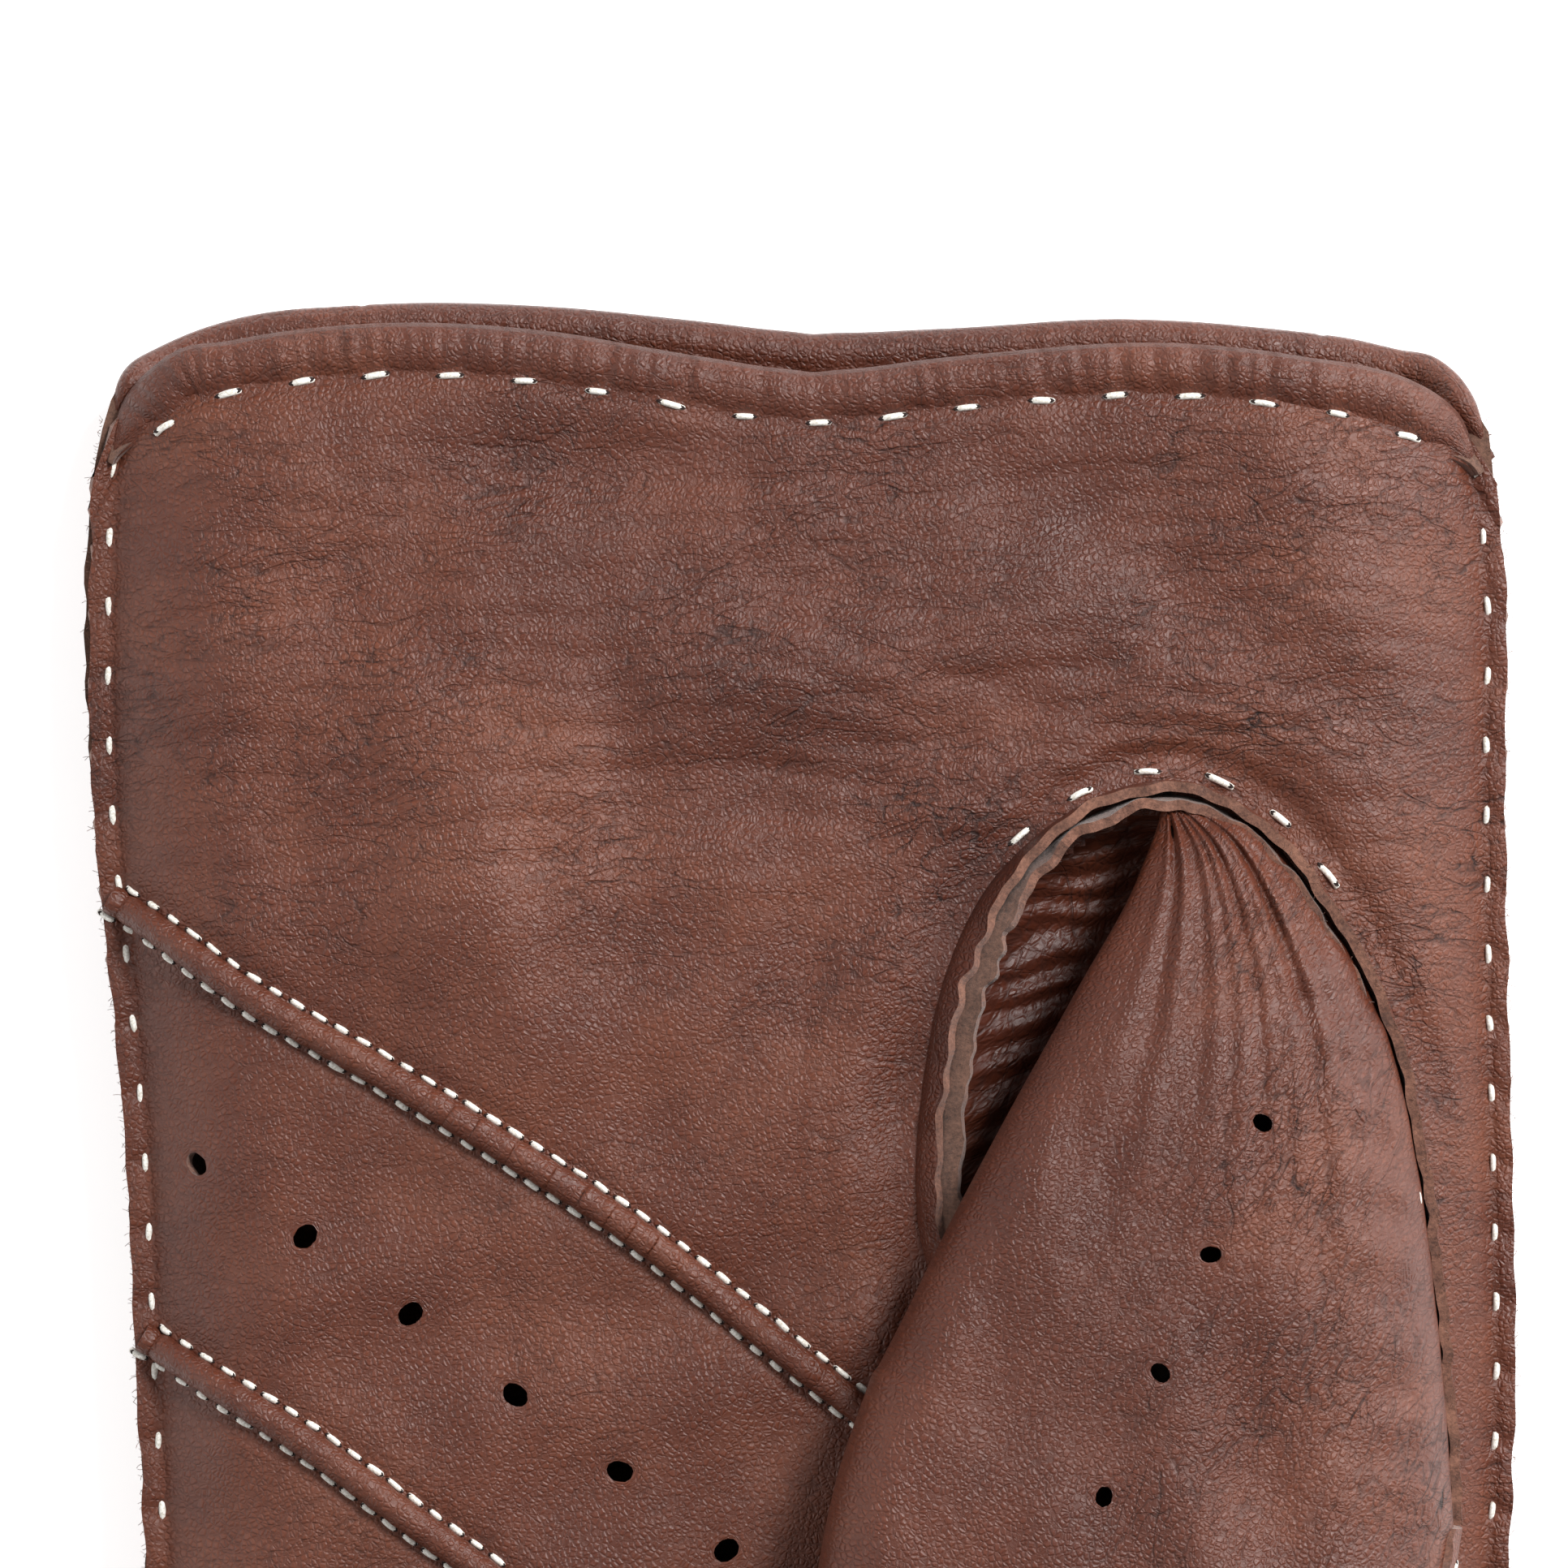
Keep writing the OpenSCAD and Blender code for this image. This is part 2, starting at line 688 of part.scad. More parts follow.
finger_back(LITTLE, "tip");  // little_back_tip
fourchettes(LITTLE, "tip");  // little_fourchette_tip
finger_thread(LITTLE, "tip");  // little_thread_tip
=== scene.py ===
# Driving glove in chestnut deerskin: the left hand, lying palm up, its thumb folded over the palm.
# Everything is worked out in millimetres and turned to metres when a mesh is made.
import json
import math

import bpy
import numpy as np
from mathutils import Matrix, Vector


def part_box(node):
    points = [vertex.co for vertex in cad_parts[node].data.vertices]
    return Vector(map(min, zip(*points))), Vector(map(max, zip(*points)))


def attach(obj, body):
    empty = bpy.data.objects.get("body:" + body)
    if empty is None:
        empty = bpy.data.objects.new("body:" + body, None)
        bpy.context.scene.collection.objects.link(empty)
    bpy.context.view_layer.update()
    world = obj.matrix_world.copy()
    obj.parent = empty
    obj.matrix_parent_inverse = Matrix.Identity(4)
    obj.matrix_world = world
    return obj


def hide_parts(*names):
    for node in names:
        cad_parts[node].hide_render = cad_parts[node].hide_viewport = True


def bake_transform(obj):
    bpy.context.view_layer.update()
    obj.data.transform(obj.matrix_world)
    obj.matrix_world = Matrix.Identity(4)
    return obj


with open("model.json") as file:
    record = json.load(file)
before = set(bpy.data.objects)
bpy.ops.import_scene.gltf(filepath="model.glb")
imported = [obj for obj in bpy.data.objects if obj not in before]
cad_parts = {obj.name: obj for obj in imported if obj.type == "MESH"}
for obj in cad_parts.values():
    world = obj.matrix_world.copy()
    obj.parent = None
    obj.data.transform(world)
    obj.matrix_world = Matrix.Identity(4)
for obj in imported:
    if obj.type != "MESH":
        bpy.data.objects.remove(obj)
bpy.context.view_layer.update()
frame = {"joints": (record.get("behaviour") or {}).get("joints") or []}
mm = 0.001
print("frame loaded")

# ---- sizes that come from the frame


def boxOf(node):
    low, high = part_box(node)
    return np.array(low) / mm, np.array(high) / mm


jointAt = {j["name"]: np.array(j["pos_m"]) / mm for j in frame["joints"]}
jointAxis = {j["name"]: np.array(j["axis"], float) for j in frame["joints"]}

glove = {
    "leather": 0.9,
    "seamAllowance": 1.7,
    "knuckleOffset": 12.0,
    "seamTop": 7.95,  # top of the palm leather on a side seam
    "sideRoll": 13.0,  # how far in from a seam the side rolls over
    "palmTop": 13.3,
    "fingerTop": 13.0,
    "fingerFlange": 11.2,  # height of the front seam between two fingers
    "backFlange": 2.6,
    "stitchPitch": 5.4,
    "stitchStart": 2.1,
}
glove["seamBack"] = glove["seamTop"] - 2 * glove["leather"] - 0.05
knuckleY = jointAt["index_base_curl"][1]
crotchY = knuckleY + glove["knuckleOffset"]
cuffY = boxOf("back_cuff_binding")[1][1]

fingers = []
for name in ("index", "middle", "ring", "little"):
    low, high = boxOf(name + "_back_lower")
    tipLow, tipHigh = boxOf(name + "_back_tip")
    outer = {"index": 1, "little": -1}.get(name, 0)
    foldY = jointAt[name + "_mid_curl"][1]
    fingers.append({
        "name": name, "left": low[0], "right": high[0], "mid": (low[0] + high[0]) / 2,
        "half": (high[0] - low[0]) / 2, "end": tipLow[1], "foldY": foldY, "outer": outer,
        "bend": min(8.0, (knuckleY - foldY) / 2 - 1.2), "splitY": (knuckleY + foldY) / 2,
    })

# ---- small helpers


def linear(code):
    values = [int(code[i:i + 2], 16) / 255 for i in (1, 3, 5)]
    return [v / 12.92 if v <= 0.04045 else ((v + 0.055) / 1.055) ** 2.4 for v in values] + [1.0]


def eased(t):
    t = np.clip(t, 0.0, 1.0)
    return t * t * (3 - 2 * t)


def dome(t):
    # a quarter round: 0 at the seam, 1 at the top
    t = np.clip(t, 0.0, 1.0)
    return np.sqrt(1 - (1 - t) ** 2)


def swell(t):
    # leather rising from a seam: steep at first, then level
    return 1 - (1 - np.clip(t, 0.0, 1.0)) ** 2.5


def through(knots, at):
    # smooth curve through knots, each (where, value...)
    knots = np.array(knots, float)
    where, values = knots[:, 0], knots[:, 1:]
    slopes = np.gradient(values, where, axis=0)
    at = np.clip(np.asarray(at, float), where[0], where[-1])
    i = np.clip(np.searchsorted(where, at, side="right") - 1, 0, len(where) - 2)
    gap = (where[i + 1] - where[i])[..., None]
    u = ((at - where[i]) / gap[..., 0])[..., None]
    result = ((2 * u ** 3 - 3 * u ** 2 + 1) * values[i] + (u ** 3 - 2 * u ** 2 + u) * gap * slopes[i]
              + (3 * u ** 2 - 2 * u ** 3) * values[i + 1] + (u ** 3 - u ** 2) * gap * slopes[i + 1])
    return result[..., 0] if values.shape[1] == 1 else result


def runOf(path):
    # distance along a path at each of its points
    return np.concatenate([[0], np.cumsum(np.linalg.norm(np.diff(path, axis=0), axis=1))])


def pickAlong(path, at):
    run = runOf(path)
    return np.column_stack([np.interp(at, run, path[:, k]) for k in range(path.shape[1])])


def alongPath(points, count):
    # a smooth path through points, with count samples evenly spaced
    points = np.array(points, float)
    where = runOf(points)
    fine = through(np.column_stack([where, points]), np.linspace(0, where[-1], 40 * len(points)))
    return pickAlong(fine, np.linspace(0, runOf(fine)[-1], count))


def everyPitch(path, pitch, start, stop=0.0):
    # stitch places along a path, with the first a given distance along
    return pickAlong(path, np.arange(start, runOf(path)[-1] - stop, pitch))


def leftOf(path):
    # level directions to the left of travel along a path
    tangent = np.gradient(path, axis=0)
    tangent /= np.linalg.norm(tangent, axis=1, keepdims=True)
    return np.column_stack([-tangent[:, 1], tangent[:, 0]])


def ripples(x, y, wavelength, angle, spread, seed, waves=7):
    # rolling waves whose crests lie near the given angle, in degrees
    rng = np.random.default_rng(seed)
    total = 0
    for _ in range(waves):
        turn = math.radians(angle + 90 + rng.uniform(-spread, spread))
        length = wavelength * rng.uniform(0.65, 1.5)
        shift = rng.uniform(0, 2 * math.pi)
        total = total + np.sin(2 * math.pi * (x * math.cos(turn) + y * math.sin(turn)) / length + shift)
    return total / math.sqrt(waves)


def creaseLines(x, y, wavelength, angle, spread, seed):
    # narrow valleys between broad pillows, from 0 on a pillow to 1 in a valley
    warpX = x + 0.7 * ripples(x, y, 3.5 * wavelength, angle + 50, 60, seed + 1)
    warpY = y + 0.7 * ripples(x, y, 3.5 * wavelength, angle - 40, 60, seed + 2)
    wave = ripples(warpX, warpY, wavelength, angle, spread, seed)
    return np.exp(-(wave / 0.35) ** 2)


def blob(x, y, centreX, centreY, reachX, reachY, turn=0.0):
    a = math.radians(turn)
    dx, dy = x - centreX, y - centreY
    along = (dx * math.cos(a) + dy * math.sin(a)) / reachX
    across = (-dx * math.sin(a) + dy * math.cos(a)) / reachY
    return np.exp(-(along ** 2 + across ** 2))


def addToScene(name, data):
    made = bpy.data.objects.new(name, data)
    bpy.context.scene.collection.objects.link(made)
    return made


# ---- camera, light and floor

studio = {
    "cameraX": -1.2, "cameraY": 79.5, "viewWidth": 120.75, "lens": 180.0, "sensor": 36.0,
    "floorColour": "#f6f6f6", "worldStrength": 0.33, "floorGlow": 0.62,
}


def makeStudio():
    scene = bpy.context.scene
    camera = addToScene("camera", bpy.data.cameras.new("camera"))
    camera.data.lens = studio["lens"]
    camera.data.sensor_width = studio["sensor"]
    focusZ = 13.0
    distance = studio["viewWidth"] * studio["lens"] / studio["sensor"]
    camera.location = [studio["cameraX"] * mm, studio["cameraY"] * mm, (distance + focusZ) * mm]
    camera.data.clip_start = 0.01
    camera.data.clip_end = 10
    scene.camera = camera

    world = bpy.data.worlds.new("studio")
    scene.world = world
    world.use_nodes = True
    world.node_tree.nodes["Background"].inputs["Color"].default_value = (1, 1, 1, 1)
    world.node_tree.nodes["Background"].inputs["Strength"].default_value = studio["worldStrength"]
    scene.view_settings.view_transform = "Standard"

    # name, place, size and power of each soft light; all point at the middle of the glove
    lights = [
        ("keySoftbox", (0.46, 0.52, 0.74), 0.26, 10.2),
        ("rakingSoftbox", (0.75, 0.55, 0.30), 0.25, 4.0),
        ("fillSoftbox", (-0.8, 0.1, 0.55), 0.5, 2.2),
    ]
    for name, place, size, power in lights:
        light = addToScene(name, bpy.data.lights.new(name, "AREA"))
        light.data.size = size
        light.data.energy = power
        light.location = place
        light.rotation_euler = (-light.location).to_track_quat("-Z", "Y").to_euler()

    floorMesh = bpy.data.meshes.new("floor")
    reach = 1.5
    floorMesh.from_pydata([(-reach, -reach, 0), (reach, -reach, 0), (reach, reach, 0), (-reach, reach, 0)],
                          [], [(0, 1, 2, 3)])
    floor = addToScene("floor", floorMesh)
    floor.location.z = -0.0001
    paper = bpy.data.materials.new("seamlessPaper")
    paper.use_nodes = True
    shader = paper.node_tree.nodes["Principled BSDF"]
    shader.inputs["Base Color"].default_value = linear(studio["floorColour"])
    shader.inputs["Roughness"].default_value = 0.9
    shader.inputs["Emission Color"].default_value = (1, 1, 1, 1)
    shader.inputs["Emission Strength"].default_value = studio["floorGlow"]
    floorMesh.materials.append(paper)


makeStudio()
print("studio ready")

# ---- materials


def addNode(tree, kind, settings=None, **links):
    # settings are the node's own properties; a link is a socket, or a value for an input
    node = tree.nodes.new(kind)
    for key, value in (settings or {}).items():
        setattr(node, key, value)
    for key, value in links.items():
        numbered = key.startswith("in") and key[2:].isdigit()
        target = node.inputs[int(key[2:]) if numbered else key.replace("_", " ")]
        if hasattr(value, "is_output"):
            tree.links.new(value, target)
        else:
            target.default_value = value
    return node


def calc(tree, operation, *values):
    # a node of maths, its inputs in order; gives the socket of its result
    slots = {"in" + str(k): value for k, value in enumerate(values)}
    return addNode(tree, "ShaderNodeMath", {"operation": operation}, **slots).outputs[0]


def ranged(tree, value, low, high, start, end, kind="LINEAR"):
    return addNode(tree, "ShaderNodeMapRange", {"interpolation_type": kind}, Value=value, From_Min=low,
                   From_Max=high, To_Min=start, To_Max=end).outputs[0]


def addNoise(tree, place, scale, detail, roughness=0.5, colour=False):
    noise = addNode(tree, "ShaderNodeTexNoise", Vector=place, Scale=scale, Detail=detail, Roughness=roughness)
    return noise.outputs["Color" if colour else "Fac"]


def addRamp(tree, value, stops):
    # stops are (position, colour code), from low to high
    ramp = addNode(tree, "ShaderNodeValToRGB", Fac=value)
    elements = ramp.color_ramp.elements
    elements[0].position, elements[0].color = stops[0][0], linear(stops[0][1])
    elements[1].position, elements[1].color = stops[-1][0], linear(stops[-1][1])
    for position, code in stops[1:-1]:
        elements.new(position).color = linear(code)
    return ramp.outputs[0]


def addBump(tree, shader, height, strength, distanceMm):
    bump = addNode(tree, "ShaderNodeBump", Height=height, Strength=strength, Distance=distanceMm * mm)
    tree.links.new(bump.outputs[0], shader.inputs["Normal"])


def setInputs(node, **values):
    for key, value in values.items():
        node.inputs[key.replace("_", " ")].default_value = value


def newMaterial(name):
    material = bpy.data.materials.new(name)
    material.use_nodes = True
    shader = material.node_tree.nodes["Principled BSDF"]
    return material, material.node_tree, shader


deerskin = {
    "dark": "#512415", "mid": "#62301e", "light": "#77412b", "creviceShade": "#230f0a",
    "grainMm": 0.44, "mottleMm": 15.0, "roughness": 0.40,
    # depths in mm
    "pebbleDepth": 0.055, "fineDepth": 0.055, "creaseDepth": 0.075, "foldDepth": 0.085, "poreDepth": 0.06,
}


def addValleys(tree, place, sizeMm, stretch, width, seed):
    # thin wandering valleys, 1 at their bottom: where a stretched noise crosses its middle value
    scaled = addNode(tree, "ShaderNodeMapping", Vector=place, Scale=(1 / (sizeMm * stretch), 1 / sizeMm, 1.0),
                     Location=(seed * 3.7, seed * 1.3, 0.0))
    noise = addNode(tree, "ShaderNodeTexNoise", Vector=scaled.outputs[0], Scale=1.0, Detail=2.5,
                    Roughness=0.45, Distortion=0.35)
    away = calc(tree, "ABSOLUTE", calc(tree, "SUBTRACT", noise.outputs["Fac"], 0.5))
    return ranged(tree, away, 0.0, width, 1.0, 0.0, "SMOOTHERSTEP")


# centre and reach in mm, and the change of tone: painted shade and a painted highlight, with a darker band
# along the cuff
paintedLightAndTonePatches = [(4, 96, 46, 26, -0.18), (-24, 77, 14, 17, 0.17), (21, 42, 20, 48, -0.20),
              (15, 67, 9, 18, -0.30), (0, 119, 64, 10, -0.22)]


def makeDeerskin():
    # Drum-dyed, glazed deerskin: a fine pebbled grain under a soft wax shine, with painted shade darkening
    # its creases and grain grooves.
    material, tree, shader = newMaterial("glazedDeerskin")
    place = addNode(tree, "ShaderNodeUVMap", {"uv_map": "grain"}).outputs["UV"]
    amount = addNode(tree, "ShaderNodeAttribute", {"attribute_name": "crease"}).outputs["Fac"]
    warp = addNoise(tree, place, 0.13, 2.0, colour=True)
    bent = addNode(tree, "ShaderNodeVectorMath", {"operation": "MULTIPLY_ADD"}, in0=warp,
                   in1=(3.0, 3.0, 0.0), in2=place).outputs[0]
    # pebbled grain between hair-fine grooves
    cells = addNode(tree, "ShaderNodeTexVoronoi", {"feature": "DISTANCE_TO_EDGE"}, Vector=place,
                    Scale=1 / deerskin["grainMm"])
    groove = ranged(tree, cells.outputs["Distance"], 0.0, 0.30, 1.0, 0.0, "SMOOTHSTEP")
    pores = addNoise(tree, place, 2.6, 4.0, 0.7)
    fine = addValleys(tree, bent, 1.35, 2.0, 0.045, 1)
    crossing = addValleys(tree, bent, 1.9, 0.5, 0.032, 2)
    crease = addValleys(tree, bent, 3.8, 2.8, 0.020, 3)
    fold = addValleys(tree, bent, 9.0, 1.7, 0.010, 4)
    # creases come and go over the skin
    zone = ranged(tree, addNoise(tree, place, 0.075, 3.0), 0.36, 0.62, 0.25, 1.0)
    patchy = ranged(tree, addNoise(tree, place, 0.35, 2.0), 0.35, 0.6, 0.0, 1.0)
    strength = calc(tree, "MULTIPLY", zone, amount)
    broken = calc(tree, "MULTIPLY", strength, patchy)
    height = calc(tree, "MULTIPLY", pores, deerskin["poreDepth"])
    creaseShade = 0.0
    # painted shade: each kind of valley deepens the bump and darkens the colour by its weight
    for valley, depth, scaledBy, shadeWeight in (
            (groove, "pebbleDepth", None, 0.22), (fine, "fineDepth", strength, 0.40),
            (crossing, "fineDepth", broken, 0.26), (crease, "creaseDepth", strength, 0.30),
            (fold, "foldDepth", broken, 0.20)):
        if scaledBy is not None:
            valley = calc(tree, "MULTIPLY", valley, scaledBy)
        height = calc(tree, "MULTIPLY_ADD", valley, -deerskin[depth], height)
        creaseShade = calc(tree, "MULTIPLY_ADD", valley, shadeWeight, creaseShade)
    addBump(tree, shader, height, 1.0, 1.0)

    # colour: mottled dye, with painted shade darkest where the skin creases
    patches = addNoise(tree, place, 1 / deerskin["mottleMm"], 6.0, 0.62)
    tone = calc(tree, "MULTIPLY_ADD", pores, 0.35, patches)
    # painted shade darkens the hollow of the upper palm, the thumb and the pocket beside its fold; a painted
    # highlight lightens the bulge at (-24, 77); the band along the cuff is darker
    here = addNode(tree, "ShaderNodeTexCoord").outputs["Object"]
    for x, y, reachX, reachY, change in paintedLightAndTonePatches:
        offset = addNode(tree, "ShaderNodeVectorMath", {"operation": "SUBTRACT"}, in0=here,
                         in1=(x * mm, y * mm, 0.0)).outputs[0]
        scaled = addNode(tree, "ShaderNodeVectorMath", {"operation": "DIVIDE"}, in0=offset,
                         in1=(reachX * mm, reachY * mm, 1.0)).outputs[0]
        ball = addNode(tree, "ShaderNodeTexGradient", {"gradient_type": "SPHERICAL"}, Vector=scaled)
        spread = ranged(tree, ball.outputs["Fac"], 0.0, 0.8, 0.0, 1.0, "SMOOTHSTEP")
        tone = calc(tree, "MULTIPLY_ADD", spread, change, tone)
    dye = addRamp(tree, tone, [(0.34, deerskin["dark"]), (0.62, deerskin["mid"]), (0.90, deerskin["light"])])
    # painted shade: the dye is mixed towards the crevice colour by the creases' weight
    mix = addNode(tree, "ShaderNodeMix", {"data_type": "RGBA", "clamp_factor": True}, in0=creaseShade, in6=dye,
                  in7=linear(deerskin["creviceShade"]))
    tree.links.new(mix.outputs[2], shader.inputs["Base Color"])
    shine = ranged(tree, patches, 0.3, 0.7, deerskin["roughness"] - 0.04, deerskin["roughness"] + 0.10)
    tree.links.new(calc(tree, "MULTIPLY_ADD", creaseShade, 0.3, shine), shader.inputs["Roughness"])
    setInputs(shader, Specular_IOR_Level=0.5)
    return material


suede = {"dark": "#3b261d", "light": "#7b5848", "edgeDark": "#47291f", "edgeLight": "#8f6350", "napMm": 0.35}


def makeSuede(name, darkColour, lightColour):
    # The split flesh side and the cut edges: short nap, no shine, greyer than the dyed grain.
    material, tree, shader = newMaterial(name)
    place = addNode(tree, "ShaderNodeTexCoord").outputs["Object"]
    nap = addNoise(tree, place, 1 / (suede["napMm"] * mm), 4.0, 0.75)
    drift = addNoise(tree, place, 280.0, 3.0)
    mixed = calc(tree, "MULTIPLY_ADD", drift, 0.5, nap)
    dye = addRamp(tree, mixed, [(0.5, darkColour), (0.95, lightColour)])
    tree.links.new(dye, shader.inputs["Base Color"])
    addBump(tree, shader, nap, 0.8, 0.15)
    setInputs(shader, Roughness=0.95, Specular_IOR_Level=0.25, Sheen_Weight=0.25, Sheen_Roughness=0.6)
    return material


# the hole colour is painted shade for the needle holes
cotton = {"dark": "#c9c1b2", "light": "#fbf8f1", "hole": "#241410"}


def makeThread():
    # Mercerised cotton thread, off-white, with a faint silky shine.
    material, tree, shader = newMaterial("mercerisedCotton")
    place = addNode(tree, "ShaderNodeTexCoord").outputs["Object"]
    fibre = addNoise(tree, place, 5200.0, 3.0)
    dye = addRamp(tree, fibre, [(0.3, cotton["dark"]), (0.6, cotton["light"])])
    tree.links.new(dye, shader.inputs["Base Color"])
    addBump(tree, shader, fibre, 0.4, 0.05)
    setInputs(shader, Roughness=0.6, Sheen_Weight=0.1)
    return material


def makeNeedleHole():
    # Painted shade for the needle holes, where the leather is pierced and drawn in by the thread: almost
    # black, no shine.
    material, _, shader = newMaterial("piercedLeather")
    setInputs(shader, Base_Color=linear(cotton["hole"]), Roughness=0.9)
    return material


grainLeather = makeDeerskin()
fleshSide = makeSuede("fleshSideSuede", suede["dark"], suede["light"])
cutEdge = makeSuede("cutEdge", suede["edgeDark"], suede["edgeLight"])
cottonThread = makeThread()
needleHoleShade = makeNeedleHole()
leatherLook = [grainLeather, fleshSide, cutEdge]
print("materials ready")

# ---- sheets: grids of points that are joined, thickened and cut into pieces


def newSheet():
    return {"points": [], "uv": [], "crease": [], "faces": [], "label": [], "count": 0}


def addGrid(sheet, points, uv, crease, label, holes=(), skip=None, flip=False):
    # points [rows, columns, 3]; label is one piece name, or one for each cell; holes are (x, y, radius)
    rows, cols = points.shape[:2]
    index = np.arange(rows * cols).reshape(rows, cols) + sheet["count"]
    keep = np.ones((rows - 1, cols - 1), bool)
    if skip is not None:
        keep &= ~skip
    labels = np.full((rows - 1, cols - 1), label, dtype=object) if isinstance(label, str) else label
    flatPoints = [points.reshape(-1, 3)]
    flatUv = [uv.reshape(-1, 2)]
    flatCrease = [np.broadcast_to(crease, (rows, cols)).reshape(-1)]
    total = sheet["count"] + rows * cols
    ringFaces = []
    ringLabels = []
    rng = np.random.default_rng(len(sheet["points"]) + 5)
    for holeX, holeY, radius in holes:
        near = np.hypot(points[..., 0] - holeX, points[..., 1] - holeY)
        i, j = np.unravel_index(np.argmin(near), near.shape)
        if near[i, j] > 1.5 or min(i, j) < 6 or i > rows - 7 or j > cols - 4:
            continue
        tall = math.ceil(1.65 * radius / np.linalg.norm(points[i + 1, j] - points[i, j]))
        wide = math.ceil(1.65 * radius / np.linalg.norm(points[i, j + 1] - points[i, j]))
        if not keep[i - tall:i + tall, j - wide:j + wide].all():
            continue
        keep[i - tall:i + tall, j - wide:j + wide] = False
        loop = ([(i - tall, j + k) for k in range(-wide, wide)]
                + [(i + k, j + wide) for k in range(-tall, tall)]
                + [(i + tall, j - k) for k in range(-wide, wide)]
                + [(i - k, j - wide) for k in range(-tall, tall)])
        border = np.array([points[a, b] for a, b in loop])
        borderUv = np.array([uv[a, b] for a, b in loop])
        borderIndex = [index[a, b] for a, b in loop]
        centre = points[i, j] + np.array([holeX - points[i, j, 0], holeY - points[i, j, 1], 0]) * 0.8
        out = border - centre
        span = np.linalg.norm(out, axis=1, keepdims=True)
        turn = np.arctan2(out[:, 1], out[:, 0])
        lean = rng.uniform(0, math.pi)
        size = radius * (1 + 0.13 * np.cos(2 * (turn - lean)) + rng.uniform(-0.04, 0.04, len(turn)))
        edge = centre + out / span * size[:, None]
        edge[:, 2] -= 0.10
        between = edge * 0.72 + border * 0.28
        between[:, 2] += 0.03
        rings = [borderIndex]
        for ring, share in ((between, 0.45), (edge, 0.2)):
            rings.append(list(range(total, total + len(loop))))
            total += len(loop)
            flatPoints.append(ring)
            middleUv = borderUv.mean(axis=0)
            flatUv.append(middleUv + (borderUv - middleUv) * share)
            flatCrease.append(np.full(len(loop), float(np.broadcast_to(crease, (rows, cols))[i, j])))
        for outside, inside in zip(rings, rings[1:]):
            for k in range(len(loop)):
                n = (k + 1) % len(loop)
                ringFaces.append((outside[k], outside[n], inside[n], inside[k]))
                ringLabels.append(labels[i, j])
    quads = np.stack([index[:-1, :-1], index[:-1, 1:], index[1:, 1:], index[1:, :-1]], axis=-1)
    faces = quads[keep].tolist() + ringFaces
    if flip:
        faces = [face[::-1] for face in faces]
    sheet["points"] += flatPoints
    sheet["uv"] += flatUv
    sheet["crease"] += flatCrease
    sheet["faces"] += [tuple(face) for face in faces]
    sheet["label"] += labels[keep].tolist() + ringLabels
    sheet["count"] = total


def normalsOf(points, faces):
    a, b, c, d = (points[faces[:, k]] for k in range(4))
    faceNormal = np.cross(c - a, d - b)
    normals = np.zeros_like(points)
    for k in range(4):
        np.add.at(normals, faces[:, k], faceNormal)
    length = np.linalg.norm(normals, axis=1, keepdims=True)
    return normals / np.maximum(length, 1e-9)


def finishSheet(sheet, thickness, name):
    # welds the grids, gives the leather its thickness, and returns one object for each label
    points = np.concatenate(sheet["points"])
    uv = np.concatenate(sheet["uv"])
    crease = np.concatenate(sheet["crease"])
    faces = np.array(sheet["faces"])
    label = np.array(sheet["label"], dtype=object)
    _, first, back = np.unique(np.round(points + 0.00017, 3), axis=0, return_index=True, return_inverse=True)
    back = back.reshape(-1)
    points, uv, crease = points[first], uv[first], crease[first]
    faces = back[faces]
    solid = np.array([len(set(face)) >= 3 for face in faces.tolist()])
    normals = normalsOf(points, faces)
    inside = points - normals * thickness
    n = len(points)
    # the rim closes every open edge
    edges = {}
    for f, face in enumerate(faces.tolist()):
        for a, b in zip(face, face[1:] + face[:1]):
            if a != b:
                edges.setdefault((min(a, b), max(a, b)), []).append((f, a, b))
    rim = [use[0] for use in edges.values() if len(use) == 1 and solid[use[0][0]]]
    allPoints = [points, inside]
    allNormals = [normals, -normals]
    rimFaces = []
    rimLabel = []
    total = 2 * n
    for f, a, b in rim:
        quad = np.array([points[b], points[a], inside[a], inside[b]])
        flat = np.cross(quad[1] - quad[0], quad[3] - quad[0])
        flat /= max(np.linalg.norm(flat), 1e-9)
        allPoints.append(quad)
        allNormals.append(np.repeat(flat[None], 4, axis=0))
        rimFaces.append((total, total + 1, total + 2, total + 3))
        rimLabel.append(label[f])
        total += 4
    allPoints = np.concatenate(allPoints)
    allNormals = np.concatenate(allNormals)
    rimSource = np.array([[b, a, a, b] for f, a, b in rim]).reshape(-1) if rim else np.zeros(0, int)
    allUv = np.concatenate([uv, uv, uv[rimSource]])
    allCrease = np.concatenate([crease, crease, crease[rimSource]])
    outerFaces = [tuple(dict.fromkeys(face)) for face in faces[solid].tolist()]
    innerFaces = [tuple(v + n for v in face[::-1]) for face in outerFaces]
    everyFace = outerFaces + innerFaces + rimFaces
    everyLabel = list(label[solid]) * 2 + rimLabel
    everyLook = [0] * len(outerFaces) + [1] * len(innerFaces) + [2] * len(rimFaces)
    pieces = {}
    for piece in dict.fromkeys(everyLabel):
        chosen = [k for k, at in enumerate(everyLabel) if at == piece]
        used = sorted({v for k in chosen for v in everyFace[k]})
        renumber = {v: k for k, v in enumerate(used)}
        objectName = name + "_" + piece
        pieces[piece] = makeObject(
            objectName, allPoints[used], [tuple(renumber[v] for v in everyFace[k]) for k in chosen],
            leatherLook, [everyLook[k] for k in chosen], allNormals[used], allUv[used], allCrease[used])
    return pieces


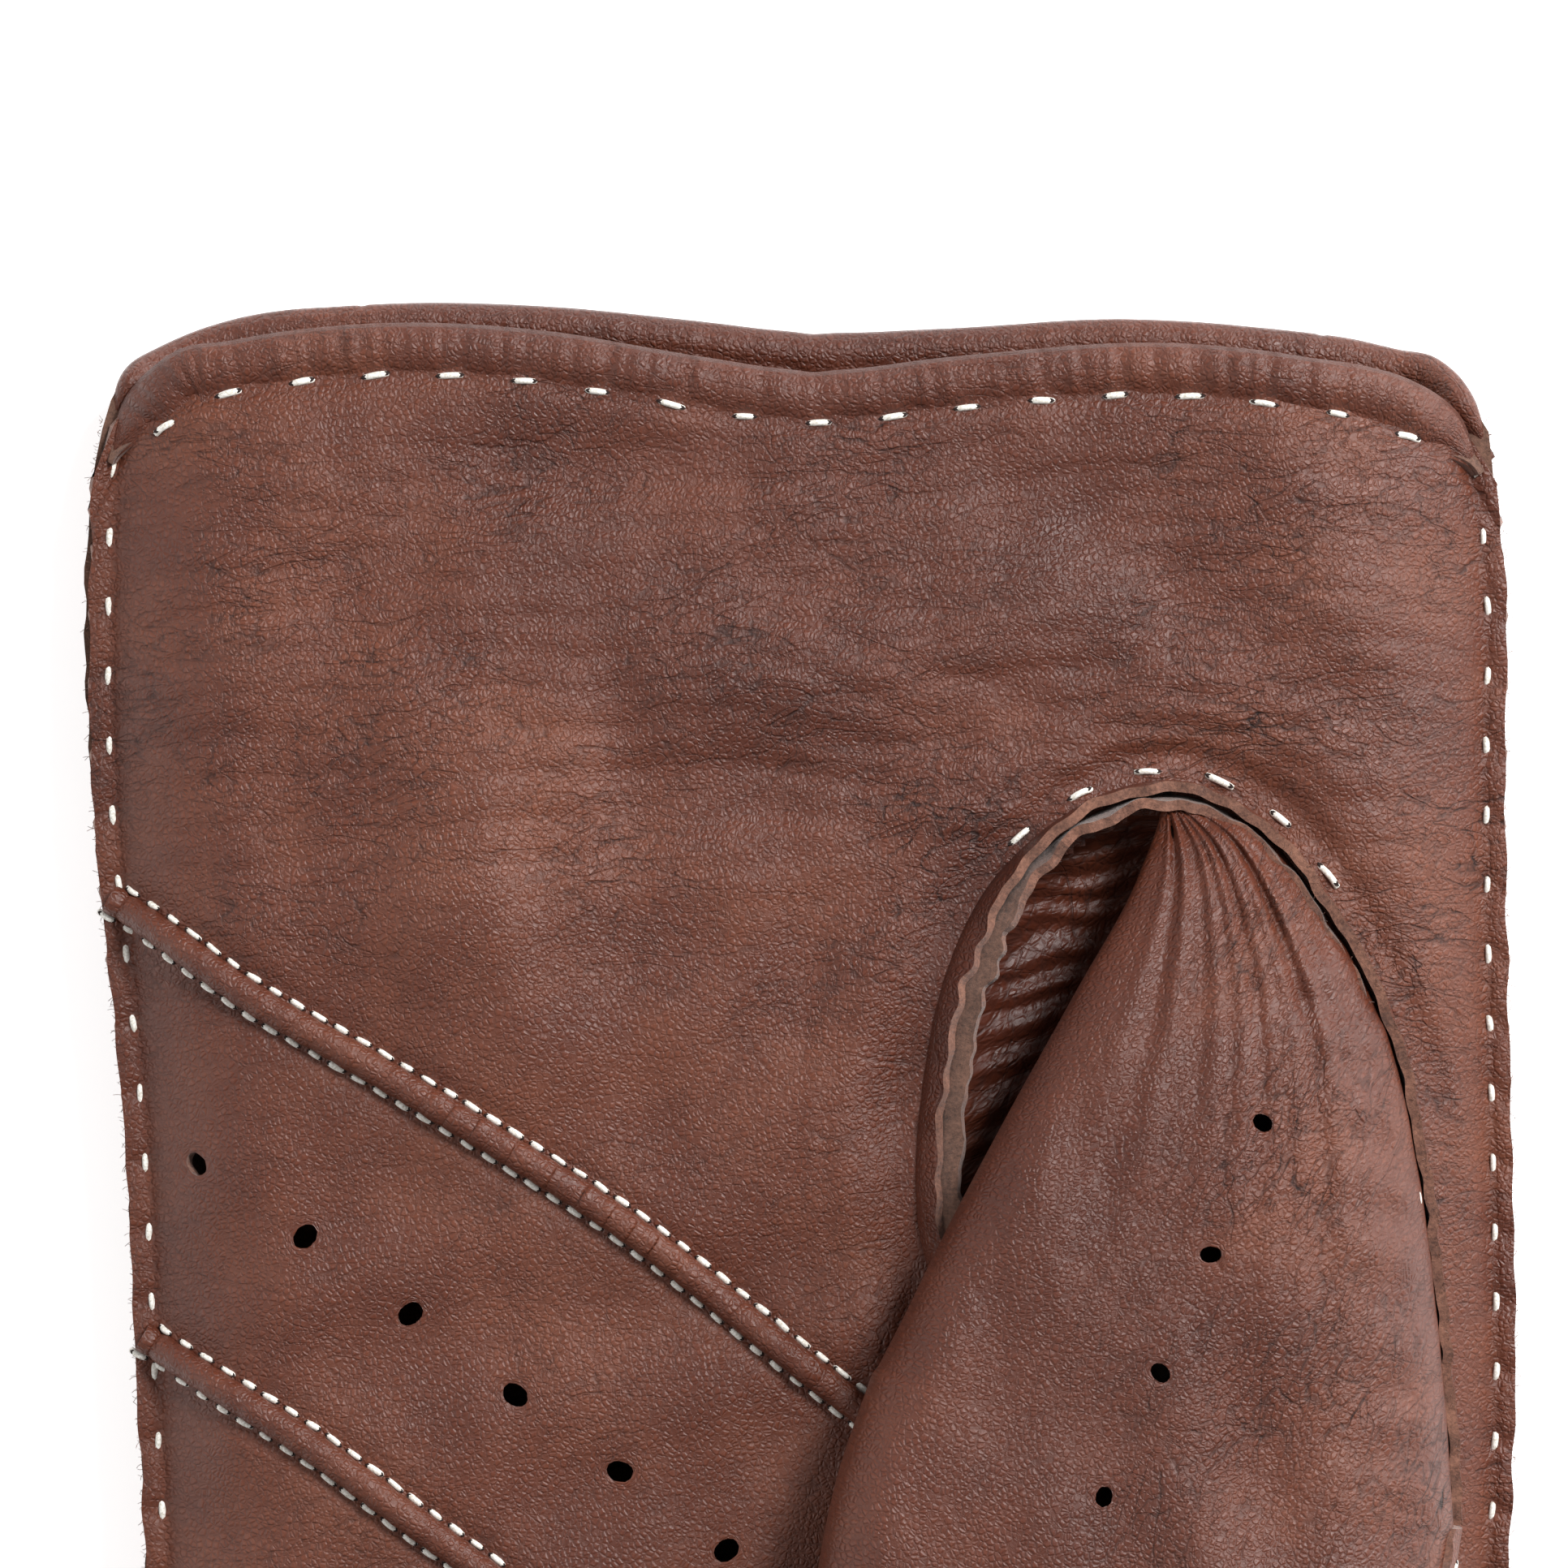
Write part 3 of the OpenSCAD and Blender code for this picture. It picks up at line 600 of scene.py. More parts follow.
def makeObject(name, points, faces, looks, lookOf=None, normals=None, uv=None, crease=None):
    mesh = bpy.data.meshes.new(name)
    mesh.from_pydata((np.asarray(points) * mm).tolist(), [], faces)
    for look in looks:
        mesh.materials.append(look)
    if lookOf is not None:
        mesh.polygons.foreach_set("material_index", lookOf)
    mesh.polygons.foreach_set("use_smooth", [True] * len(mesh.polygons))
    corner = np.zeros(len(mesh.loops), int)
    mesh.loops.foreach_get("vertex_index", corner)
    layer = mesh.uv_layers.new(name="grain")
    flat = np.asarray(points)[:, :2] if uv is None else uv
    layer.data.foreach_set("uv", np.ascontiguousarray(flat[corner], dtype=np.float32).reshape(-1))
    attribute = mesh.attributes.new("crease", "FLOAT", "POINT")
    values = np.full(len(points), 0.6) if crease is None else crease
    attribute.data.foreach_set("value", np.ascontiguousarray(values, dtype=np.float32))
    if normals is not None:
        mesh.normals_split_custom_set_from_vertices(normals.tolist())
    mesh.update()
    return addToScene(name, mesh)


# ---- the hand's outline

outline = {
    # side edges, as (distance along the hand from the crotch, x)
    "little": [(0, -53.3), (28, -51.6), (52, -50.8), (66, -51.5), (85, -52.4), (98, -53.6), (110, -54.8),
               (128, -55.1), (137, -54.8), (146, -53.4)],
    "index": [(0, 53.3), (33, 54.3), (52, 55.1), (66, 55.6), (85, 55.3), (98, 55.0), (113, 54.8),
              (129, 54.8), (137, 54.0), (146, 52.6)],
    # cuff edges, as (x, distance below the highest point of the cuff)
    "palmCuff": [(-55, 13), (-53, 8.4), (-50, 5.0), (-43, 3.0), (-34, 1.9), (-20, 2.4), (-8.4, 4.3), (1, 5.5),
                 (12, 4.4), (28.8, 3.4), (39.7, 4.6), (47.5, 6.3), (51.5, 9.0), (55, 15)],
    "backCuff": [(-55, 11), (-53.2, 6.2), (-50.4, 3.6), (-45.9, 1.6), (-34, 0), (-20, 0.1), (-8.4, 1.2),
                 (0, 2.1), (12, 1.8), (25, 1.1), (36.4, 1.8), (46.1, 3.3), (50.9, 5.1), (55, 12)],
}


def leftEdge(y):
    return through([(0, fingers[-1]["left"])] + outline["little"][1:], y - crotchY)


def rightEdge(y):
    return through([(0, fingers[0]["right"])] + outline["index"][1:], y - crotchY)


def cuffEdge(x, which):
    return cuffY - through(outline[which], x)


# the thumb seam runs from the foot of its index side, over its top and down the palm side
thumbSeam = {
    "rightFoot": (50.3, 22.4),
    "right": [(49.9, 29), (49.0, 39), (47.6, 50), (45.0, 61), (40.6, 69.5), (35.0, 76.2), (29.2, 78.8)],
    "left": [(24.6, 78.2), (20.1, 75.8), (15.9, 71.9), (12.2, 64.9), (10.3, 55.5), (10.0, 46.1)],
    "hidden": [(12.5, 36.5), (20, 28), (33, 23.5)],
}
seamPath = alongPath([thumbSeam["rightFoot"]] + thumbSeam["right"] + thumbSeam["left"]
                     + thumbSeam["hidden"] + [(47.5, 21.0)], 260)


def seamDistance(x, y):
    # signed distance from the thumb seam in plan, below 0 inside it
    shape = np.shape(x)
    px, py = np.ravel(x), np.ravel(y)
    gap = np.full(px.shape, 1e9)
    inside = np.zeros(px.shape, bool)
    loop = np.vstack([seamPath, seamPath[:1]])
    for (ax, ay), (bx, by) in zip(loop[:-1], loop[1:]):
        gap = np.minimum(gap, np.hypot(px - ax, py - ay))
        crosses = (ay > py) != (by > py)
        with np.errstate(divide="ignore", invalid="ignore"):
            inside ^= crosses & (px < (bx - ax) * (py - ay) / (by - ay + 1e-12) + ax)
    return np.where(inside, -gap, gap).reshape(shape)


# the lines of the two corded welts, across the palm
welts = {
    "upper": [(-53.5, 70.6), (-51.8, 69.6), (-41.3, 62.5), (-33.4, 58.0), (-22.4, 51.4), (-13.0, 45.3),
              (-3.6, 37.9), (3.8, 32.1), (8.0, 28.9)],
    "lower": [(-51.0, 36.6), (-49.8, 35.9), (-44.6, 32.9), (-39, 29.5), (-28.6, 22.0), (-10, 8.4), (10, -5.5),
              (30, -18.2), (48.5, -28.6)],
    "width": 2.3, "rowGap": 1.35, "stitchPitch": 1.95,
}
weltPath = {key: alongPath(welts[key], 160) for key in ("upper", "lower")}


def weltDistance(x, y):
    shape = np.shape(x)
    px, py = np.ravel(x), np.ravel(y)
    gap = np.full(px.shape, 1e9)
    for path in weltPath.values():
        for a, b in zip(path[:-1], path[1:]):
            step = b - a
            t = np.clip(((px - a[0]) * step[0] + (py - a[1]) * step[1]) / (step @ step), 0, 1)
            gap = np.minimum(gap, np.hypot(px - a[0] - t * step[0], py - a[1] - t * step[1]))
    return gap.reshape(shape)


# ---- heights of the two main leathers


def outerRoll(finger):
    return min(glove["sideRoll"] - 1.5, finger["half"] - glove["seamAllowance"] - 0.05)


def seamAt(finger, isOuter, front):
    # a seam's height beside a finger, and how far in from it the skin rolls over
    if front:
        return (glove["seamTop"], outerRoll(finger)) if isOuter else (glove["fingerFlange"], 4.5)
    return (glove["seamBack"], 9.0) if isOuter else (glove["backFlange"], 4.0)


def fingerLevel(front):
    return glove["fingerTop"] if front else 0.3


def fingerHeight(finger, x, front):
    # front or back skin of a finger across its straight part
    heights = []
    for side, edge in ((-1, finger["left"]), (1, finger["right"])):
        seam, roll = seamAt(finger, finger["outer"] == side, front)
        inward = np.abs(x - edge) - glove["seamAllowance"]
        heights.append(seam + (fingerLevel(front) - seam) * swell(inward / roll))
    return np.minimum(*heights) if front else np.maximum(*heights)


def allFingers(x, between, front):
    grown = np.full(np.shape(x), between)
    for finger in fingers:
        within = (x >= finger["left"]) & (x <= finger["right"])
        grown = np.where(within, fingerHeight(finger, x, front), grown)
    return grown


def palmHeight(x, y, detail=True):
    left, right = leftEdge(y), rightEdge(y)
    side = np.minimum(x - left, right - x)
    inward = side - glove["seamAllowance"]
    low = glove["seamTop"]
    fromCuff = np.clip((cuffY - y) / 34.0, 0, 1)
    top = low + (glove["palmTop"] - low) * (0.62 + 0.38 * eased(fromCuff))
    z = low + (top - low) * swell(inward / glove["sideRoll"])
    z = z + 0.5 * (1 - (x / 54) ** 2) * np.clip(inward / 8, 0, 1)
    # soft hills and hollows of leather that has been worn
    inner = np.clip(inward / 6, 0, 1)
    z = z + inner * (2.3 * blob(x, y, -25, 70, 8, 17, 12) - 0.8 * blob(x, y, -4, 103.5, 24, 3.4, -2)
                     - 0.7 * blob(x, y, -35, 88, 5, 14, -35) + 0.5 * blob(x, y, -2, 90, 26, 5, 6)
                     + 1.3 * blob(x, y, 39, 98, 6, 15, 15) - 0.6 * blob(x, y, 33, 92, 16, 3.2, -32)
                     + 0.6 * blob(x, y, -5, 60, 6, 16, 25) - 0.5 * blob(x, y, -13, 82, 3, 12, 8))
    z = z + inner * (0.24 * ripples(x, y, 17, 8, 40, 3) + 0.10 * ripples(x, y, 8, 60, 60, 4))
    # the palm lifts towards the thumb seam, and dips just outside it
    seam = seamDistance(x, y)
    z = z + inner * (0.55 * np.exp(-((seam - 6.5) / 3.6) ** 2) - 0.45 * np.exp(-((seam - 2.6) / 1.3) ** 2))
    z = np.where(seam < 0, z - 0.25 * np.clip(-seam, 0, 3), z)
    # fingers grow out of the palm
    z = z + (allFingers(x, glove["fingerFlange"], True) - z) * (1 - eased((y - crotchY) / 20.0))
    if detail:
        z = z + palmDetail(x, y, inward, seam) * eased((y - crotchY) / 6)
    return z


def sideStitchPhase(y):
    return 2 * math.pi * (cuffY - y - glove["stitchStart"]) / glove["stitchPitch"]


def palmDetail(x, y, inward, seam):
    fade = np.clip(inward / 3, 0, 1) * np.clip((y - crotchY) / 10, 0, 1)
    # creases lie across the upper palm, and turn round the thumb seam
    upper = eased((y - 62) / 16) * np.clip((cuffY - 9 - y) / 4, 0, 1)
    z = -0.20 * creaseLines(x, y, 6.5, 3, 16, 11) * upper * fade
    z = z - 0.26 * creaseLines(x, y, 9.5, -8, 22, 21) * blob(x, y, 3, 89, 40, 11, -4) * fade
    around = np.exp(-((seam - 5) / 5) ** 2) * (seam > 0.5)
    z = z - 0.13 * np.cos(seam * 2 * math.pi / 2.6 + ripples(x, y, 22, 40, 80, 31)) * around * fade
    lower = 1 - eased((y - 52) / 20)
    z = z - 0.06 * creaseLines(x, y, 4.2, 35, 35, 41) * lower * fade
    # each stitch draws the seam in
    pull = (0.5 + 0.5 * np.cos(sideStitchPhase(y))) ** 6
    atSide = np.abs(x) > 40
    z = z + 0.20 * (1 - pull) * np.exp(-((inward + 0.9) / 0.7) ** 2) * atSide
    z = z - 0.34 * pull * np.exp(-((inward + 0.6) / 1.3) ** 2) * atSide
    z = z - 0.22 * np.exp(-((inward - 0.15) / 0.5) ** 2) * atSide
    # the welts draw the leather into a valley on either side
    beside = weltDistance(x, y) - welts["rowGap"]
    z = z - 0.34 * np.exp(-(beside / 0.8) ** 2) * fade
    # a groove holds the hem's stitches
    fromCuff = cuffEdge(x, "palmCuff") - y
    return z - 0.35 * np.exp(-((fromCuff - 4.1) / 0.8) ** 2)


def backHeight(x, y):
    # the back's outer surface, which lies on the ground
    left, right = leftEdge(y), rightEdge(y)
    inward = np.minimum(x - left, right - x) - glove["seamAllowance"]
    high = glove["seamBack"]
    z = high - (high - 0.45) * swell(inward / 9.0)
    z = z + (allFingers(x, glove["backFlange"], False) - z) * (1 - eased((y - crotchY) / 16.0))
    # the cuff lifts a little off the ground
    return z + 1.6 * (1 - eased((cuffY - y) / 22)) * np.clip(inward / 10, 0, 1)


# ---- front and back leathers, each one skin from the cuff to the fingertips

# distances from a finger's raw edge to its columns of points, as shares of a 13.5 mm half finger
columnShare = np.array([0, 0.6, 1.2, 1.7, 2.3, 3.0, 3.8, 4.7, 5.6, 6.6, 7.6, 8.6, 9.6, 10.6, 11.6, 12.6,
                        13.5]) / 13.5


def palmColumns():
    # shares of the hand's width at which the grid's columns run, matched to the fingers' own
    xs = []
    for finger in sorted(fingers, key=lambda f: f["left"]):
        edge = finger["half"] * columnShare
        xs += list(finger["left"] + edge) + list((finger["right"] - edge)[::-1][1:])
    xs = np.array(xs)
    return (xs - xs[0]) / (xs[-1] - xs[0])


tipLength = 13.0


def fingerOutline(finger, rows):
    # plan of a finger's raw edge and of the line its columns run to, both sides and round the tip
    centreY = finger["end"] + tipLength
    straight = np.concatenate([
        np.linspace(crotchY, finger["splitY"], rows["lower"], endpoint=False),
        np.linspace(finger["splitY"], centreY, rows["tip"], endpoint=False)])
    taper = 2.0 * eased((finger["foldY"] + 6 - straight) / (finger["foldY"] + 6 - centreY))
    sideHalf = finger["half"] - taper
    turn = np.linspace(0, math.pi, rows["round"])
    narrow = finger["half"] - 2.0
    edgeX = np.concatenate([-sideHalf, -narrow * np.cos(turn), sideHalf[::-1]])
    edgeY = np.concatenate([straight, centreY - tipLength * np.sin(turn), straight[::-1]])
    spineY = np.concatenate([straight, np.full(len(turn), centreY), straight[::-1]])
    side = np.concatenate([-np.ones(len(straight)), np.zeros(len(turn)), np.ones(len(straight))])
    # towards the tip the front and back skins close on each other
    closing = eased((centreY + 9 - edgeY) / 13)
    return edgeX, edgeY, spineY, side, closing


def fingerRows(finger):
    step = 0.95
    return {"lower": max(6, round((crotchY - finger["splitY"]) / step)),
            "tip": max(8, round((finger["splitY"] - finger["end"] - tipLength) / step)), "round": 30}


def seamLine(finger, outerSide, closing, front):
    # height of the seam along a finger's edge
    height = np.where(outerSide, seamAt(finger, True, front)[0], seamAt(finger, False, front)[0])
    return height + ((glove["seamTop"] if front else glove["seamBack"]) - height) * closing


def fingerGrid(finger, front):
    edgeX, edgeY, spineY, side, closing = fingerOutline(finger, fingerRows(finger))
    share = columnShare[None, :]
    x = edgeX[:, None] * (1 - share)
    y = edgeY[:, None] + (spineY - edgeY)[:, None] * share
    inward = np.hypot(edgeX, spineY - edgeY)[:, None] * share - glove["seamAllowance"]
    closing = closing[:, None]
    outerSide = (side * finger["outer"] > 0)[:, None]
    low = seamLine(finger, outerSide, closing, front)
    roll = np.where(outerSide, seamAt(finger, True, front)[1], seamAt(finger, False, front)[1])
    roll = roll + ((9.5 if front else 9.0) - roll) * closing
    z = low + (fingerLevel(front) - low) * swell(inward / roll)
    if front:
        fade = np.clip(inward / 3, 0, 1) * np.clip((crotchY - y) / 8, 0, 1)
        z = z - 0.10 * creaseLines(x + finger["mid"], y, 5.0, 4, 20, 51) * fade
        for foldY, depth in ((knuckleY, 0.35), (finger["foldY"], 0.45)):
            bend = np.exp(-((y - foldY) / 1.6) ** 2) + 0.5 * np.exp(-((y - foldY + 4) / 1.4) ** 2)
            z = z - depth * bend * np.clip(inward / 4, 0, 1)
    # stitches draw the seam in all round
    run = runOf(np.column_stack([edgeX, edgeY]))
    pull = (0.5 + 0.5 * np.cos(2 * math.pi * run / glove["stitchPitch"]))[:, None] ** 3
    settle = np.clip((crotchY - edgeY) / 4, 0, 1)[:, None]
    z = z - (1 if front else -1) * 0.28 * pull * settle * np.exp(-(inward / 1.0) ** 2)
    points = np.stack([x + finger["mid"], y, z], axis=-1)
    isBase = (edgeY[:-1] + edgeY[1:])[:, None] / 2 > finger["splitY"]
    label = np.where(isBase, finger["name"] + "Base", finger["name"] + "Tip")
    return points, points[..., :2].copy(), np.repeat(label.astype(object), len(columnShare) - 1, axis=1)


airHoles = {"pitch": 10.1, "radius": 0.92}


def palmHoleRow():
    # midway between the welts, from the little-finger side to the index side
    path = alongPath([(-46.6, 50.1), (-38.1, 44.7), (-22.2, 32.8), (-5.8, 20.6), (10.7, 8.3), (27, -4),
                      (45, -17)], 400)
    return [(x, y, airHoles["radius"]) for x, y in everyPitch(path, airHoles["pitch"], 0)]


def handGrid(rows, which, gap, bulge, wander, wavelength, seed):
    # plan of the palm's or the back's grid, from the crotches to the cuff
    share = palmColumns()[None, :]
    v = np.linspace(0, 1, rows)[:, None]
    y = crotchY + v * (cuffY - gap - crotchY) + 0 * share
    for _ in range(3):
        left, right = leftEdge(y) - bulge * np.exp(-((y - 93) / 11) ** 2), rightEdge(y)
        x = left + (right - left) * share
        y = crotchY + v * (cuffEdge(x, which) - 0.8 - crotchY)
    # the raw edges are cut by hand, so they wander a little
    nearEdge = np.exp(-np.minimum(x - left, right - x) / 1.2)
    wander = wander * ripples(np.sign(x) * 30, y, wavelength, 0, 5, seed)
    return x + wander * nearEdge * eased((y - crotchY) / 8), y


def makeFront():
    sheet = newSheet()
    x, y = handGrid(262, "palmCuff", 3, 0, 0.09, 6.5, 71)
    points = np.stack([x, y, palmHeight(x, y)], axis=-1)
    skip = seamDistance((x[1:, 1:] + x[:-1, :-1]) / 2, (y[1:, 1:] + y[:-1, :-1]) / 2) < -1.6
    crease = 0.45 + 0.4 * eased((y - 55) / 20) + 0.3 * np.exp(-((seamDistance(x, y) - 4) / 6) ** 2)
    crease = crease * np.clip((cuffEdge(x, "palmCuff") - y) / 5, 0.3, 1)
    addGrid(sheet, points, palmGrainMap(x, y), crease, "palm", palmHoleRow(), skip)
    for finger in fingers:
        points, uv, label = fingerGrid(finger, True)
        addGrid(sheet, points, uv, 0.6, label, flip=True)
    return finishSheet(sheet, glove["leather"], "front")


def palmGrainMap(x, y):
    # the creases' own direction: across the palm above, and bending round the thumb seam
    seam = seamDistance(x, y)
    bend = np.exp(-np.clip(seam, 0, None) / 7.0)
    tilt = 0.35 * (x / 50) * bend
    return np.stack([x + 2 * tilt, y - 0.05 * x - 3 * tilt], axis=-1)


def makeBack():
    sheet = newSheet()
    # the back's raw edge shows past the palm's along the little-finger side
    x, y = handGrid(110, "backCuff", 1, 0.45, 0.12, 5.5, 81)
    points = np.stack([x, y, backHeight(x, y)], axis=-1)
    addGrid(sheet, points, points[..., :2].copy(), 0.5, "back", flip=True)
    for finger in fingers:
        points, uv, label = fingerGrid(finger, False)
        addGrid(sheet, points, uv, 0.5, label)
    return finishSheet(sheet, glove["leather"], "back")


frontPieces = makeFront()
print("front leather made:", sorted(frontPieces))
backPieces = makeBack()
print("back leather made:", sorted(backPieces))


def fingerOf(label):
    return next(f for f in fingers if label.startswith(f["name"]))


def nodeOf(label, kind):
    part = "lower" if label.endswith("Base") else "tip"
    return fingerOf(label)["name"] + "_" + kind + "_" + part


def rideFinger(piece):
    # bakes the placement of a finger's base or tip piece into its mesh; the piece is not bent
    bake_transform(piece)


for pieces, panel, kind in ((frontPieces, "palm", "front"), (backPieces, "back", "back")):
    for label, piece in pieces.items():
        if label == panel:
            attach(piece, "hand")
            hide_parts(panel + "_panel")
        else:
            rideFinger(piece)
            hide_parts(nodeOf(label, kind))
print("leathers placed")

# ---- walls between the fingers

wall = {
    "leather": 0.8, "clearance": 0.04, "rows": {"lower": 20, "tip": 48, "round": 30},
    # across the strip, from the front seam's edge down the wall to the back seam's edge:
    # how far it stands out, and its share of the height
    "out": [1.45, 0.8, 0.1, -0.35, -0.75, -0.9, -0.75, -0.35, 0.1, 0.8, 1.45],
    "up": [1, 1, 0.985, 0.86, 0.7, 0.5, 0.3, 0.14, 0.015, 0, 0],
}


def wallSide(finger, sign):
    # one side of a finger, from the crotch to where the skins have closed
    edgeX, edgeY, spineY, side, closing = fingerOutline(finger, wall["rows"])
    order = np.concatenate([np.where(side == sign)[0], np.where((side == 0) & (edgeX * sign > 0))[0]])
    order = order[np.argsort(-edgeY[order], kind="stable")]
    px, py, spine, closing = edgeX[order], edgeY[order], spineY[order], closing[order]
    normal = np.column_stack([px, py - spine]) / np.hypot(px, spine - py)[:, None]
    place = np.column_stack([finger["mid"] + px, py]) - normal * glove["seamAllowance"]
    names = np.array([finger["name"] + ("Base" if y > finger["splitY"] else "Tip") for y in py])
    keep = closing < 0.93
    return place[keep], normal[keep], closing[keep], names[keep]


def crotchWall(rightFinger, leftFinger):
    # one strip runs up the right finger's side, round the crotch and down the next finger's side
    first, second = wallSide(rightFinger, -1), wallSide(leftFinger, 1)
    left, right = leftFinger["right"], rightFinger["left"]
    radius = (right - left) / 2 + glove["seamAllowance"]
    turn = np.linspace(0, math.pi, 15)[1:-1]
    around = np.column_stack([np.cos(turn), np.sin(turn)])
    place = np.vstack([first[0][::-1], [(left + right) / 2, crotchY] + radius * around, second[0]])
    normal = np.vstack([first[1][::-1], -around, second[1]])
    closing = np.concatenate([first[2][::-1], np.zeros(len(turn)), second[2]])
    names = np.concatenate([first[3][::-1], np.full(len(turn), "crotch"), second[3]])
    gap = glove["leather"] + wall["clearance"]
    high = glove["fingerFlange"] + (glove["seamTop"] - glove["fingerFlange"]) * closing - gap
    low = glove["backFlange"] + (glove["seamBack"] - glove["backFlange"]) * closing + gap
    plan = place[:, None, :] + normal[:, None, :] * np.array(wall["out"])[None, :, None]
    z = low[:, None] + (high - low)[:, None] * np.array(wall["up"])[None, :]
    points = np.concatenate([plan, z[..., None]], axis=-1)
    uv = np.stack(np.broadcast_arrays(runOf(place)[:, None], z), axis=-1)
    labels = np.repeat(names[:-1].astype(object)[:, None], len(wall["out"]) - 1, axis=1)
    return points, uv, labels


def makeWalls():
    for rightFinger, leftFinger in zip(fingers[:-1], fingers[1:]):
        sheet = newSheet()
        points, uv, labels = crotchWall(rightFinger, leftFinger)
        addGrid(sheet, points, uv, 0.4, labels)
        # both ends of the wall are one piece with each finger
        pair = rightFinger["name"] + "_" + leftFinger["name"]
        for label, piece in finishSheet(sheet, wall["leather"], "wall_" + pair).items():
            if label == "crotch":
                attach(piece, "hand")
                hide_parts(pair + "_crotch")
            else:
                rideFinger(piece)
                kind = "fourchette" if fingerOf(label)["outer"] else "fourchettes"
                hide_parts(nodeOf(label, kind))


makeWalls()
print("walls between the fingers made")

# ---- thumb

hinge = jointAt["thumb_lift"]
thumbAcross = -jointAxis["thumb_lift"][:2]
thumbAlong = np.array([thumbAcross[1], -thumbAcross[0]])
thumb = {
    "fold": [(27.8, 78.0), (26.2, 73.0), (20.9, 63.3), (15.9, 54.4), (10.9, 45.0), (7.4, 37.9)],
    "foldEnd": (-9.2, -22.8), "seamEnd": (-9.2, 23.3),
    # along the free thumb from the hinge: half width
    "halfWidth": [(-9.2, 23.05), (0, 23.5), (10, 22.6), (20, 21.0), (30, 18.6), (38, 15.4)],
    "tipStart": 38.0, "tipEnd": 50.0, "low": 15.6, "middle": 20.0, "pocket": 6.5, "leather": 0.85,
    # share of the seam from the apex down: height of the top, of the fold's middle, of the seam
    "heights": [(0, 13.9, 13.7, 13.4), (0.12, 17.4, 15.6, 13.3), (0.3, 20.6, 17.4, 13.3),
                (0.5, 22.9, 18.6, 13.4), (0.75, 24.6, 19.4, 13.6), (1.0, 25.4, 19.8, 14.2),
                (1.18, 26.0, 20.4, 17.6),
                (1.4, 26.3, 20.8, 20.0), (2.2, 25.6, 20.5, 20.2), (3.0, 23.5, 20.0, 20.0)],
    "rows": 210, "freeRows": 110, "top": 72, "under": 46,
    "holes": [(35.1, 53.8), (31.1, 43.9), (27.2, 35.1), (22.9, 25.7), (20, 16), (17.2, 6.2), (14.4, -3.6),
              (11.6, -13.4)], "holeRadius": 0.72,
}


def thumbPoint(along, across):
    return hinge[:2] + along * thumbAlong + across * thumbAcross


def freeShare(along):
    # the share goes on past 1 down the free thumb
    return 1 + (along - thumb["foldEnd"][0]) / 30.0


def besideThumb(along, half):
    return hinge[:2] + along[:, None] * thumbAlong + half[:, None] * thumbAcross


def bunched(count):
    # places from 0 to 1, closer together at both ends
    t = np.linspace(0, 1, count)
    return 0.5 * t + 0.25 * (1 - np.cos(math.pi * t))


